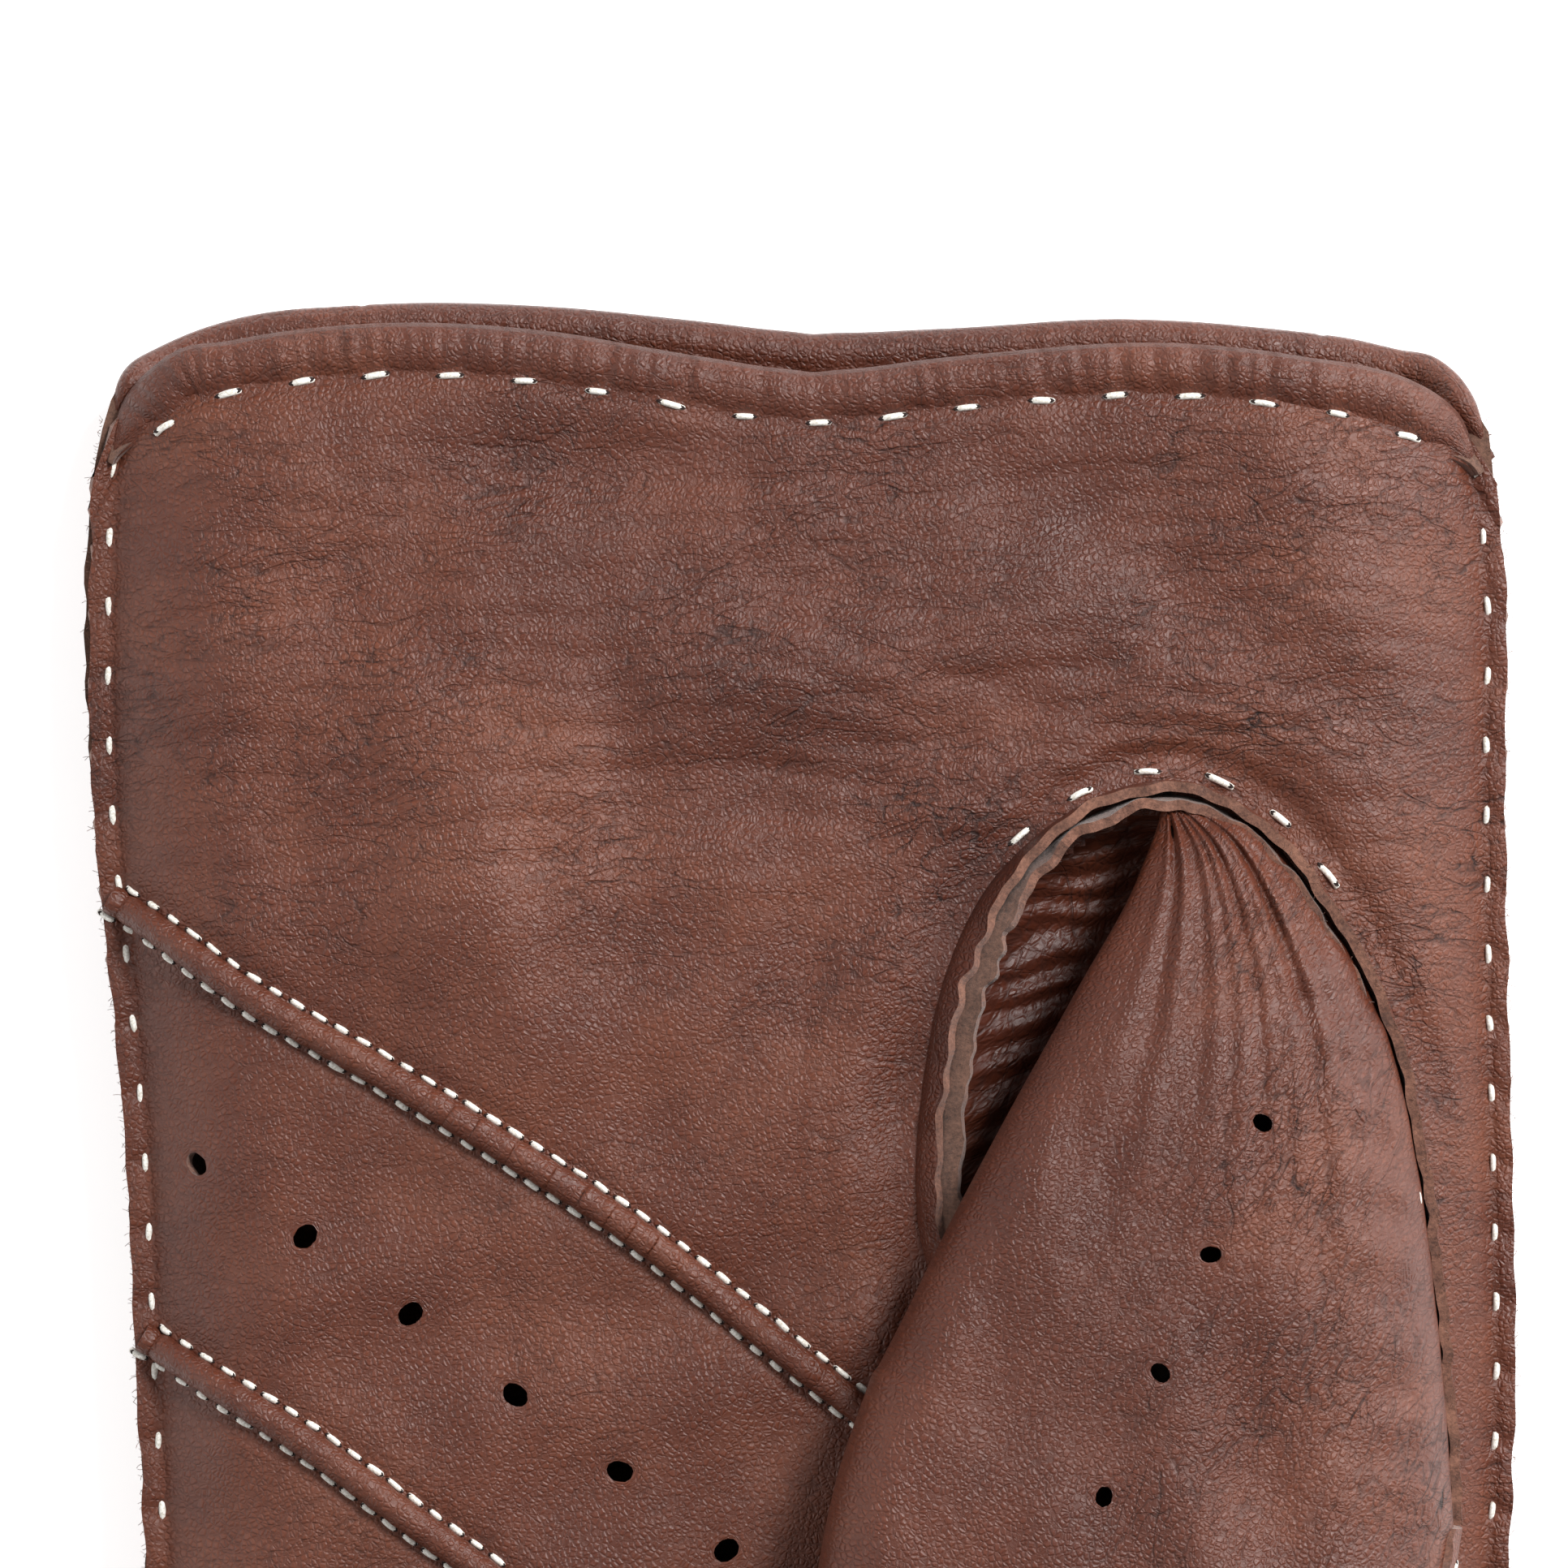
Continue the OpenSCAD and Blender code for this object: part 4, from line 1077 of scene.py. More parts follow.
def makeThumb():
    foldEnd = thumbPoint(*thumb["foldEnd"])
    seamEnd = thumbPoint(*thumb["seamEnd"])
    n = thumb["rows"]
    apex = (27.8, 78.9)
    fold = alongPath([apex] + thumb["fold"] + [tuple(foldEnd)], n)
    seam = alongPath([apex] + thumbSeam["right"][::-1][1:] + [tuple(seamEnd)], n)
    under = alongPath([apex] + thumbSeam["left"] + thumbSeam["hidden"] + [tuple(seamEnd)], n)
    free = np.linspace(0, 1, thumb["freeRows"])[1:]
    start = thumb["foldEnd"][0]
    straight = start + free * (thumb["tipStart"] - start) / 0.72
    turn = np.clip((free - 0.72) / 0.28, 0, 1) * math.pi / 2
    along = np.where(free < 0.72, straight,
                     thumb["tipStart"] + (thumb["tipEnd"] - thumb["tipStart"]) * np.sin(turn))
    half = through(thumb["halfWidth"], np.minimum(along, thumb["tipStart"])) * np.cos(turn) ** 0.9
    half = np.maximum(half, 0.02)
    fold = np.vstack([fold, besideThumb(along, -half)])
    seam = np.vstack([seam, besideThumb(along, half)])
    under = np.vstack([under, seam[n:]])
    share = np.concatenate([np.linspace(0, 1, n), freeShare(along)])
    top, foldZ, seamZ = through(thumb["heights"], share).T
    closing = np.concatenate([np.ones(n), np.cos(turn) ** 0.8])
    middle = thumb["middle"]
    top = middle + (top - middle) * closing
    low = middle + (thumb["low"] - middle) * closing
    width = np.linalg.norm(fold - seam, axis=1)
    sheet = newSheet()
    q = bunched(thumb["top"])[None, :]
    plan = seam[:, None, :] * (1 - q[..., None]) + fold[:, None, :] * q[..., None]
    fromSeam = q * width[:, None]
    fromFold = (1 - q) * width[:, None]
    rollSeam = np.minimum(15, 0.62 * width + 0.3)[:, None]
    rollFold = np.minimum(5.2, 0.33 * width + 0.3)[:, None]
    zRight = seamZ[:, None] + (top - seamZ)[:, None] * dome(fromSeam / rollSeam)
    zLeft = foldZ[:, None] + (top - foldZ)[:, None] * dome(fromFold / rollFold)
    z = np.minimum(zRight, zLeft)
    s = share[:, None]
    # the top is gathered into folds that fan out from the seam's highest point
    gather = np.clip(s / 0.06, 0, 1) * np.exp(-(s / 0.55) ** 2)
    lobes = ripples(q * 30, s * 2.0, 3.4, 90, 6, 61)
    z = z + gather * 0.42 * lobes * eased((0.97 - q) / 0.28) * eased(fromSeam / 4)
    seamPucker = np.exp(-((fromSeam - 3) / 3.5) ** 2) * eased(s / 0.15) * (s < 1.0)
    planX, planY = plan[..., 0], plan[..., 1]
    z = z + 0.30 * seamPucker * np.sin(s * 66 + 2 * ripples(planX, planY, 14, 0, 90, 62))
    # long soft waves and fine creases down the middle of the thumb
    bodyFade = eased((s - 0.2) / 0.4) * eased(fromSeam / 5) * eased(fromFold / 6)
    z = z + bodyFade * (0.28 * ripples(planX, planY, 11, 102, 14, 63)
                        - 0.10 * creaseLines(planX, planY, 4.6, 98, 18, 64))
    acrossCentre = (plan - hinge[:2]) @ thumbAcross
    alongCentre = (plan - hinge[:2]) @ thumbAlong
    z = z + bodyFade * (0.7 * blob(acrossCentre, alongCentre, 10, 2, 6, 6)
                        - 0.9 * blob(acrossCentre, alongCentre, 9, -14, 5, 9))
    points = np.concatenate([plan, z[..., None]], axis=-1)
    # the map runs along the thumb, so that creases do too
    run = runOf((fold + seam) / 2)
    uv = np.stack(np.broadcast_arrays(run[:, None], fromFold), axis=-1)
    amount = 0.25 + 0.75 * eased((0.85 - q) / 0.5)
    addGrid(sheet, points, uv, amount, "skin", [(x, y, thumb["holeRadius"]) for x, y in thumb["holes"]])

    # the underside turns in below the fold, then back out to the seam's other branch
    t = np.linspace(0, 1, thumb["under"])
    direction = (seam - fold) / np.maximum(width, 1e-3)[:, None]
    reach = ((under - fold) * direction).sum(axis=1)
    aside = (under - fold) - direction * reach[:, None]
    opened = eased(share / 0.22)
    deepest = np.maximum(thumb["pocket"] * opened, reach * 0.62)
    foldThick = (1.2 + 1.6 * opened) * np.minimum(share, 1) ** 0.3
    knots = []
    for k in range(len(share)):
        zBottom = foldZ[k] - foldThick[k]
        floor = 13.0 - 6.0 * opened[k]
        end = reach[k]
        knots.append([
            (0.00, 0, foldZ[k], 0), (0.10, 0.9 * opened[k], zBottom + 0.3, 0),
            (0.30, 0.6 * deepest[k], zBottom - 0.2, 0.05),
            (0.48, deepest[k], (zBottom + floor) / 2, 0.2),
            (0.64, deepest[k] * 0.6 + 0.4 * max(end, 0), floor, 0.45),
            (0.84, 0.30 * deepest[k] * (end < 0) + end * 0.75, floor + 2.3 * opened[k], 0.85),
            (1.00, end, 13.3 if share[k] < 1 else seamZ[k], 1.0)])
    # each row of the turn: distance in from the fold, height, and share of the way aside
    turned = np.array([through(k, t) for k in knots])
    folded = (fold[:, None, :] + direction[:, None, :] * turned[..., 0:1]
              + aside[:, None, :] * turned[..., 2:3])
    # past the pocket the underside is a plain tube
    tq = bunched(thumb["under"])[None, :]
    tube = fold[:, None, :] * (1 - tq[..., None]) + under[:, None, :] * tq[..., None]
    breadth = np.linalg.norm(under - fold, axis=1)[:, None]
    gapEnd = breadth * (1 - tq)
    rollEnd = np.minimum(8, 0.3 * width + 0.3)[:, None]
    tubeLeft = foldZ[:, None] - (foldZ - low)[:, None] * dome(breadth * tq / rollFold)
    tubeRight = seamZ[:, None] - (seamZ - low)[:, None] * dome(gapEnd / rollEnd)
    rising = (seamZ > low)[:, None]
    tubeZ = np.where(rising, np.maximum(tubeLeft, tubeRight),
                     tubeLeft + (seamZ[:, None] - tubeLeft) * eased(1 - gapEnd / 14))
    mix = eased((share - 0.78) / 0.22)[:, None]
    plan = folded * (1 - mix[..., None]) + tube * mix[..., None]
    z = turned[..., 1] * (1 - mix) + tubeZ * mix
    # gathers across the pocket
    shift = 1.4 * ripples(plan[..., 0], plan[..., 1], 9, 40, 90, 65)
    crimp = np.sin(2 * math.pi * share[:, None] * 31 + shift)
    z = z + 0.42 * crimp * (1 - mix) * opened[:, None] * np.exp(-((t[None, :] - 0.72) / 0.2) ** 2)
    points = np.concatenate([plan, z[..., None]], axis=-1)
    uv = np.stack(np.broadcast_arrays(run[:, None], -turned[..., 0] - 20 * t), axis=-1)
    addGrid(sheet, points, uv, 0.9, "skin")
    piece = finishSheet(sheet, thumb["leather"], "thumb")["skin"]
    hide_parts("thumb_base", "thumb_front", "thumb_back")
    blendThumb(piece)


def blendThumb(piece):
    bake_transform(piece)


makeThumb()
print("thumb made")

# ---- raw seam flanges of the thumb: two leathers standing side by side

flange = {"height": 2.2, "gap": 0.16, "leather": 0.8, "wave": 0.15}


def makeFlange(name, path, baseZ, lean, flare, seed):
    # lean is how far the flange falls to the left of its path, in degrees
    aside = leftOf(path)
    run = runOf(path)
    heights = np.array([-0.9, 0.0, 0.5, 1.0])
    sheet = newSheet()
    for side in (1, -1):
        wave = flange["wave"] * ripples(run, 0 * run, 7.5, 90, 4, seed + side)
        wave = wave + 0.45 * flange["wave"] * ripples(run, 0 * run, 2.4, 90, 4, seed + 10 + side)
        notch = 0.16 * ripples(run, 0 * run, 3.0, 90, 4, seed + 20 + side)
        rows = []
        for h in heights:
            rise = h * (flange["height"] + notch * (h > 0.8))
            spread = side * (flange["gap"] + flange["leather"]) + max(h, 0) * (wave + side * flare)
            tilt = np.radians(lean) * max(h, 0) ** 0.5
            across = spread + rise * np.sin(tilt) * (h > 0)
            up = rise * np.where(h > 0, np.cos(tilt), 1.0) - spread * np.sin(tilt) * 0.5 * max(h, 0)
            rows.append(np.column_stack([path + aside * across[:, None], baseZ + up]))
        points = np.stack(rows, axis=1)
        uv = np.stack(np.broadcast_arrays(run[:, None], heights * 2.3), axis=-1)
        addGrid(sheet, points, uv, 0.5, "leaf", flip=(side < 0))
    piece = finishSheet(sheet, flange["leather"], name)["leaf"]
    return piece


def thumbFlanges():
    path = alongPath([thumbSeam["rightFoot"]] + thumbSeam["right"] + thumbSeam["left"]
                     + thumbSeam["hidden"][:1], 330)
    share = np.linspace(0, 1, len(path))
    baseZ = palmHeight(path[:, 0], path[:, 1], False) - 0.1
    lean = 6 + 40 * eased((share - 0.62) / 0.12)
    piece = makeFlange("thumbSeamFlange", path, baseZ, lean, 0.10, 91)
    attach(piece, "hand")
    # the same seam runs on down the free thumb's side and round its tip
    u = np.linspace(thumb["foldEnd"][0], thumb["tipStart"], 60)
    turn = np.linspace(0, math.pi * 0.93, 60)[1:]
    tipHalf = through(thumb["halfWidth"], np.array([thumb["tipStart"]]))[0]
    tip = besideThumb(thumb["tipStart"] + 12 * np.sin(turn), tipHalf * np.cos(turn))
    path = np.vstack([besideThumb(u, through(thumb["halfWidth"], u)), tip])[::-1]
    share = freeShare(np.concatenate([u, np.full(len(turn), thumb["tipEnd"])]))
    baseZ = through(thumb["heights"], share)[:, 2][::-1]
    baseZ[:len(turn)] = thumb["middle"]
    piece = makeFlange("thumbSideFlange", path, baseZ, np.where(baseZ < 17, 22.0, 82.0), 0.05, 97)
    blendThumb(piece)


thumbFlanges()
print("thumb seam flanges made")

# ---- turned and stitched hems at the cuff

hem = {
    "pitch": 5.75, "start": 4.2, "stitchLine": 4.1, "leather": 0.6, "joins": (-34.2, 40.9), "samples": 420,
    "endLength": 5.5, "endWidth": 0.15,
}

def cuffPath(which):
    xs = [-54.6, -54.2, -53.2, -52, -50.2, *np.linspace(-48, 47, 26), 49.5, 51.2, 52.6, 53.8]
    if which == "backCuff":
        xs += [54.4, 54.8]
    return alongPath(np.column_stack([xs, cuffEdge(xs, which)]), hem["samples"])


def makeHem(which, sections, surface, sign, node):
    path = cuffPath(which)
    outward = leftOf(path)
    run = runOf(path)
    # the strip thins out at its ends, where it goes into the side seams
    fromEnd = np.minimum(run, run[-1] - run)
    slim = hem["endWidth"] + (1 - hem["endWidth"]) * eased(fromEnd / hem["endLength"])
    atEnds = 1 - eased((fromEnd - 4) / 10)

    def heightAt(inset):
        inner = path - outward * inset[:, None]
        height = surface(inner[:, 0], inner[:, 1])
        return np.convolve(np.pad(height, 12, mode="edge"), np.ones(25) / 25, mode="valid")

    middle = heightAt(1.0 + 3.5 * slim)
    pull = (0.5 + 0.5 * np.cos(2 * math.pi * (run - hem["start"]) / hem["pitch"])) ** 4
    fine = 0.05 * ripples(run, 0 * run, 3.1, 90, 4, 101) + 0.04 * ripples(run, 0 * run, 1.3, 90, 4, 102)
    crimp = np.zeros(len(run))
    for x in hem["joins"] if sign < 0 else ():
        crimp = crimp + np.exp(-((path[:, 0] - x) / 0.28) ** 2)
    dip = np.exp(-((path[:, 0] - 1.0) / 1.1) ** 2)
    rows = []
    for d, h in sections:
        onTop = float(d < 3.4) * (0.35 + 0.65 * (h > -0.4))
        near = math.exp(-((d - hem["stitchLine"]) / 0.9) ** 2)
        up = (h + onTop * (fine * 1.6 - 0.12 * pull - 0.16 * dip) - near * 0.22 * pull) * slim
        rim = 1 - 0.10 * crimp * (d < 2.5)
        inset = d * rim * slim + 0.9 * (1 - slim) + 0.12 * dip + 0.1 * crimp * (d < 1)
        plan = path - outward * inset[:, None]
        # near the side seams the strip follows the leather across its whole width
        base = middle + (heightAt(np.maximum(inset, 1.0)) - middle) * atEnds
        rows.append(np.column_stack([plan, base + sign * up - 0.15 * crimp * (h > 0) * (d < 3)]))
    points = np.stack(rows, axis=1)
    across = np.array([d + 3 * (h < -0.5) for d, h in sections])
    uv = np.stack(np.broadcast_arrays(run[:, None], across), axis=-1)
    sheet = newSheet()
    addGrid(sheet, points, uv, 0.55, "hem", flip=(sign > 0))
    piece = finishSheet(sheet, hem["leather"], node)["hem"]
    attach(piece, "hand")
    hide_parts(node)


# across each hem, from its inner edge over the fold and back under: distance in, and height
palmHem = [(4.95, -0.12), (4.5, -0.05), (4.1, -0.2), (3.7, 0.05), (3.1, 0.42), (2.4, 0.62), (1.7, 0.62),
           (1.0, 0.42), (0.4, 0.0), (0.05, -0.6), (0.05, -1.2), (0.45, -1.75), (1.2, -2.0), (3.0, -1.9),
           (5.2, -1.9)]
backHem = [(4.95, -0.12), (4.5, -0.05), (4.1, -0.2), (3.7, 0.05), (3.0, 0.3), (2.2, 0.4), (1.4, 0.3),
           (0.7, 0.0), (0.2, -0.55), (0.0, -1.2), (0.2, -1.9), (0.75, -2.5), (1.5, -2.8), (2.3, -2.7),
           (3.2, -2.2), (4.4, -1.95), (5.4, -1.9)]
makeHem("palmCuff", palmHem, palmHeight, 1, "palm_cuff_binding")
makeHem("backCuff", backHem, backHeight, -1, "back_cuff_binding")
print("cuff hems made")

# ---- geometry nodes: stitches along lines, and corded welts


def lineMesh(name, lines):
    # each line is points [n, 3] and the surface's upward directions [n, 3], in mm
    points, ups, edges = [], [], []
    for line, up in lines:
        start = len(points)
        points += (np.asarray(line) * mm).tolist()
        ups += np.asarray(up).tolist()
        edges += [(start + k, start + k + 1) for k in range(len(line) - 1)]
    mesh = bpy.data.meshes.new(name)
    mesh.from_pydata(points, edges, [])
    attribute = mesh.attributes.new("surfaceUp", "FLOAT_VECTOR", "POINT")
    attribute.data.foreach_set("vector", np.array(ups, dtype=np.float32).reshape(-1))
    return addToScene(name, mesh)


def newTree(name, inputs):
    tree = bpy.data.node_groups.new(name, "GeometryNodeTree")
    tree.interface.new_socket("Geometry", in_out="INPUT", socket_type="NodeSocketGeometry")
    tree.interface.new_socket("Geometry", in_out="OUTPUT", socket_type="NodeSocketGeometry")
    for label, kind in inputs.items():
        tree.interface.new_socket(label, in_out="INPUT", socket_type="NodeSocket" + kind)
    return tree, tree.nodes.new("NodeGroupInput").outputs, tree.nodes.new("NodeGroupOutput")


def runTree(source, tree, values, name):
    # sets the inputs, evaluates once, and keeps the result as a plain mesh
    modifier = source.modifiers.new("nodes", "NODES")
    modifier.node_group = tree
    ids = {item.name: item.identifier for item in tree.interface.items_tree if item.in_out == "INPUT"}
    for key, value in values.items():
        modifier[ids[key]] = value
    view = bpy.context.evaluated_depsgraph_get()
    mesh = bpy.data.meshes.new_from_object(source.evaluated_get(view), depsgraph=view)
    mesh.name = name
    source.modifiers.clear()
    bpy.data.objects.remove(source)
    return addToScene(name, mesh)


def vectorOf(tree, **parts):
    return addNode(tree, "ShaderNodeCombineXYZ", **parts).outputs[0]


def savedAs(tree, geometry, name, value, kind="FLOAT", domain="POINT"):
    return addNode(tree, "GeometryNodeStoreNamedAttribute", {"data_type": kind, "domain": domain},
                   Geometry=geometry, Name=name, Value=value).outputs[0]


def readBack(tree, name, kind="FLOAT"):
    return addNode(tree, "GeometryNodeInputNamedAttribute", {"data_type": kind}, Name=name).outputs[0]


def threadAlong(tree, shape, thickness, sides):
    # sweeps a round thread along a curve
    ring = addNode(tree, "GeometryNodeCurvePrimitiveCircle", Resolution=sides,
                   Radius=calc(tree, "MULTIPLY", thickness, 0.5))
    return addNode(tree, "GeometryNodeCurveToMesh", Curve=shape, Profile_Curve=ring.outputs[0],
                   Fill_Caps=True).outputs[0]


def scattered(tree, given, piece, rotation, angles, smallest, largest):
    # one copy of the piece at each point of the lines, turned by the angles, no two of one size
    points = addNode(tree, "GeometryNodeMeshToCurve", Mesh=given["Geometry"]).outputs[0]
    turn = addNode(tree, "FunctionNodeEulerToRotation", Euler=angles)
    turned = addNode(tree, "FunctionNodeRotateRotation", {"rotation_space": "LOCAL"}, Rotation=rotation,
                     Rotate_By=turn.outputs[0])
    grow = addNode(tree, "FunctionNodeRandomValue", {"data_type": "FLOAT_VECTOR"}, Seed=given["Seed"],
                   in0=smallest, in1=largest)
    placed = addNode(tree, "GeometryNodeInstanceOnPoints", Points=points, Instance=piece,
                     Rotation=turned.outputs[0], Scale=grow.outputs[0])
    return addNode(tree, "GeometryNodeRealizeInstances", Geometry=placed.outputs[0]).outputs[0]


def sewingTree():
    tree, given, result = newTree("stitchesAlongLines", {
        "Length": "Float", "Thickness": "Float", "Rise": "Float", "Turn": "Float", "Seed": "Int",
        "Thread": "Material", "Hole": "Material"})
    half = calc(tree, "MULTIPLY", given["Length"], 0.5)
    back = calc(tree, "MULTIPLY", given["Length"], -0.5)
    sink = calc(tree, "MULTIPLY", given["Thickness"], -0.75)
    arc = addNode(tree, "GeometryNodeCurveQuadraticBezier", Resolution=7,
                  Start=vectorOf(tree, X=back, Z=sink), Middle=vectorOf(tree, Z=given["Rise"]),
                  End=vectorOf(tree, X=half, Z=sink))
    thread = threadAlong(tree, arc.outputs[0], given["Thickness"], 8)
    # painted shade: a flat near-black pit under each stitch stands in for the shade in its needle hole
    ball = addNode(tree, "GeometryNodeMeshUVSphere", Segments=10, Rings=6, Radius=1.0)
    size = vectorOf(tree, X=calc(tree, "MULTIPLY", given["Length"], 0.56),
                    Y=calc(tree, "MULTIPLY", given["Thickness"], 0.5),
                    Z=calc(tree, "MULTIPLY", given["Thickness"], 0.16))
    shadePit = addNode(tree, "GeometryNodeTransform", Geometry=ball.outputs[0], Scale=size)
    both = tree.nodes.new("GeometryNodeJoinGeometry")
    tree.links.new(savedAs(tree, shadePit.outputs[0], "needleHoleShade", True, "BOOLEAN", "FACE"), both.inputs[0])
    tree.links.new(thread, both.inputs[0])

    tangent = addNode(tree, "GeometryNodeInputTangent").outputs[0]
    pointed = addNode(tree, "FunctionNodeAlignRotationToVector", {"axis": "X"}, Vector=tangent)
    raised = addNode(tree, "FunctionNodeAlignRotationToVector", {"axis": "Z", "pivot_axis": "X"},
                     Rotation=pointed.outputs[0], Vector=readBack(tree, "surfaceUp", "FLOAT_VECTOR"))
    spin = addNode(tree, "FunctionNodeRandomValue", {"data_type": "FLOAT"}, Seed=given["Seed"],
                   in2=calc(tree, "MULTIPLY", given["Turn"], -1.0), in3=given["Turn"])
    real = scattered(tree, given, both.outputs[0], raised.outputs[0], vectorOf(tree, Z=spin.outputs[1]),
                     (0.86, 0.88, 0.9), (1.1, 1.12, 1.1))
    smooth = addNode(tree, "GeometryNodeSetShadeSmooth", Geometry=real)
    white = addNode(tree, "GeometryNodeSetMaterial", Geometry=smooth.outputs[0], Material=given["Thread"])
    dark = addNode(tree, "GeometryNodeSetMaterial", Geometry=white.outputs[0], Material=given["Hole"],
                   Selection=readBack(tree, "needleHoleShade", "BOOLEAN"))
    tree.links.new(dark.outputs[0], result.inputs[0])
    return tree


def weltTree():
    tree, given, result = newTree("weltAlongLine", {
        "Width": "Float", "Pucker": "Float", "Leather": "Material"})
    line = addNode(tree, "GeometryNodeMeshToCurve", Mesh=given["Geometry"])
    length = addNode(tree, "GeometryNodeSplineParameter").outputs["Length"]
    # drawn in at each stitch, and a little uneven
    beat = calc(tree, "SINE", calc(tree, "MULTIPLY", length, 2 * math.pi / (welts["stitchPitch"] * mm)))
    slow = addNode(tree, "ShaderNodeTexNoise", Scale=420.0, Detail=2.0).outputs["Fac"]
    thick = calc(tree, "MULTIPLY", calc(tree, "MULTIPLY_ADD", beat, given["Pucker"], 1.0),
                 ranged(tree, slow, 0.0, 1.0, 0.93, 1.07))
    sized = addNode(tree, "GeometryNodeSetCurveRadius", Curve=line.outputs[0], Radius=thick).outputs[0]
    ring = addNode(tree, "GeometryNodeCurvePrimitiveCircle", Resolution=20,
                   Radius=calc(tree, "MULTIPLY", given["Width"], 0.5)).outputs[0]
    around = addNode(tree, "GeometryNodeSplineParameter").outputs["Length"]
    swept = addNode(tree, "GeometryNodeCurveToMesh", Curve=savedAs(tree, sized, "alongWelt", length),
                    Profile_Curve=savedAs(tree, ring, "aroundWelt", around), Scale=thick, Fill_Caps=True)
    place = vectorOf(tree, X=readBack(tree, "alongWelt"), Y=readBack(tree, "aroundWelt"))
    inMm = addNode(tree, "ShaderNodeVectorMath", {"operation": "SCALE"}, in0=place, Scale=1 / mm)
    mapped = savedAs(tree, swept.outputs[0], "grain", inMm.outputs[0], "FLOAT2", "CORNER")
    creased = savedAs(tree, mapped, "crease", 0.22)
    smooth = addNode(tree, "GeometryNodeSetShadeSmooth", Geometry=creased)
    real = addNode(tree, "GeometryNodeRealizeInstances", Geometry=smooth.outputs[0])
    look = addNode(tree, "GeometryNodeSetMaterial", Geometry=real.outputs[0], Material=given["Leather"])
    tree.links.new(look.outputs[0], result.inputs[0])
    return tree


sewing = sewingTree()
welting = weltTree()
sewingStyles = {
    # length, thickness, rise of the thread's bow, wander in degrees
    "side": (2.1, 0.50, 0.42, 7), "hem": (2.0, 0.52, 0.42, 9), "machine": (1.45, 0.50, 0.40, 5),
    "finger": (2.0, 0.50, 0.42, 6),
}


def facing(points, x, y, z):
    return np.tile([float(x), float(y), float(z)], (len(points), 1))


def sew(node, lines, style, place, seed):
    length, thick, rise, turn = sewingStyles[style]
    made = runTree(lineMesh(node, lines), sewing, {
        "Length": length * mm, "Thickness": thick * mm, "Rise": rise * mm, "Turn": math.radians(turn),
        "Seed": seed, "Thread": cottonThread, "Hole": needleHoleShade}, node)
    place(made)
    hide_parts(node)


def onHand(piece):
    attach(piece, "hand")


def upOf(surface, x, y, sign=1):
    # the surface's own normal, on its upper (1) or lower (-1) side
    slopeX = (surface(x + 0.6, y) - surface(x - 0.6, y)) / 1.2
    slopeY = (surface(x, y + 0.6) - surface(x, y - 0.6)) / 1.2
    normal = np.column_stack([-slopeX, -slopeY, np.ones(len(x))])
    return sign * normal / np.linalg.norm(normal, axis=1, keepdims=True)


def onSurface(plan, surface, lift=0.05, sign=1):
    x, y = plan[:, 0], plan[:, 1]
    return np.column_stack([x, y, surface(x, y) + sign * lift]), upOf(surface, x, y, sign)


def sideStitches():
    pitch = glove["stitchPitch"]
    inset = glove["seamAllowance"] - 0.25
    y = np.arange(cuffY - glove["stitchStart"] - 2 * pitch, crotchY + 1, -pitch)
    for side, edge, node in ((-1, leftEdge, "little_side_thread"), (1, rightEdge, "index_side_thread")):
        lines = []
        for places, surface, up in ((y, palmHeight, 1), (y - pitch / 2, backHeight, -1)):
            plan = np.column_stack([edge(places) - side * inset, places])
            lines.append((onSurface(plan, surface, 0.14, up)[0], facing(y, 0, 0, up)))
        sew(node, lines, "side", onHand, 3 + side)


def hemStitches():
    for which, surface, up, seed in (("palm", palmHeight, 1, 11), ("back", backHeight, -1, 12)):
        path = cuffPath(which + "Cuff")
        plan = everyPitch(path - leftOf(path) * hem["stitchLine"], hem["pitch"], hem["start"], 2.5)
        sew(which + "_cuff_thread", [onSurface(plan, surface, 0.12, up)], "hem", onHand, seed)


def makeRib(node, source, line, up, width):
    rib = runTree(lineMesh(source, [(line, facing(line, 0, 0, up))]), welting, {
        "Width": width * mm, "Pucker": 0.03, "Leather": grainLeather}, node)
    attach(rib, "hand")
    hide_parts(node)


def makeWelts():
    for key, seed in (("upper", 21), ("lower", 24)):
        path = alongPath(welts[key], 420)
        middle = np.column_stack([path, palmHeight(path[:, 0], path[:, 1]) + 0.22])
        makeRib(key + "_palm_welt", key + "Welt", middle, 1, welts["width"])
        rows = []
        for side in (1, -1):
            line = path + leftOf(path) * side * welts["rowGap"]
            plan = everyPitch(line, welts["stitchPitch"], 0.9 + 0.4 * side, 0.6)
            rows.append(onSurface(plan, palmHeight, 0.10))
        sew(key + "_welt_threads", rows, "machine", onHand, seed)


def makeBackPoints():
    rows = []
    for name, rightFinger, leftFinger in zip(("index", "middle", "little"), fingers[:-1], fingers[1:]):
        y = np.linspace(crotchY + 16, crotchY + 88, 120)
        x = np.full(len(y), (rightFinger["left"] + leftFinger["right"]) / 2)
        ends = np.clip(np.minimum(y - y[0], y[-1] - y) / 6, 0, 1)
        z = backHeight(x, y) + 0.62 + 0.5 * (1 - eased(ends))
        node = "back_point_" + name
        makeRib(node, node, np.column_stack([x, y, z]), -1, 2.1)
        for side in (1, -1):
            plan = np.column_stack([x[:36] + side * 1.3, np.linspace(y[0] + 1, y[-1] - 1, 36)])
            rows.append(onSurface(plan, backHeight, 0.04, -1))
    sew("back_point_threads", rows, "machine", onHand, 31)


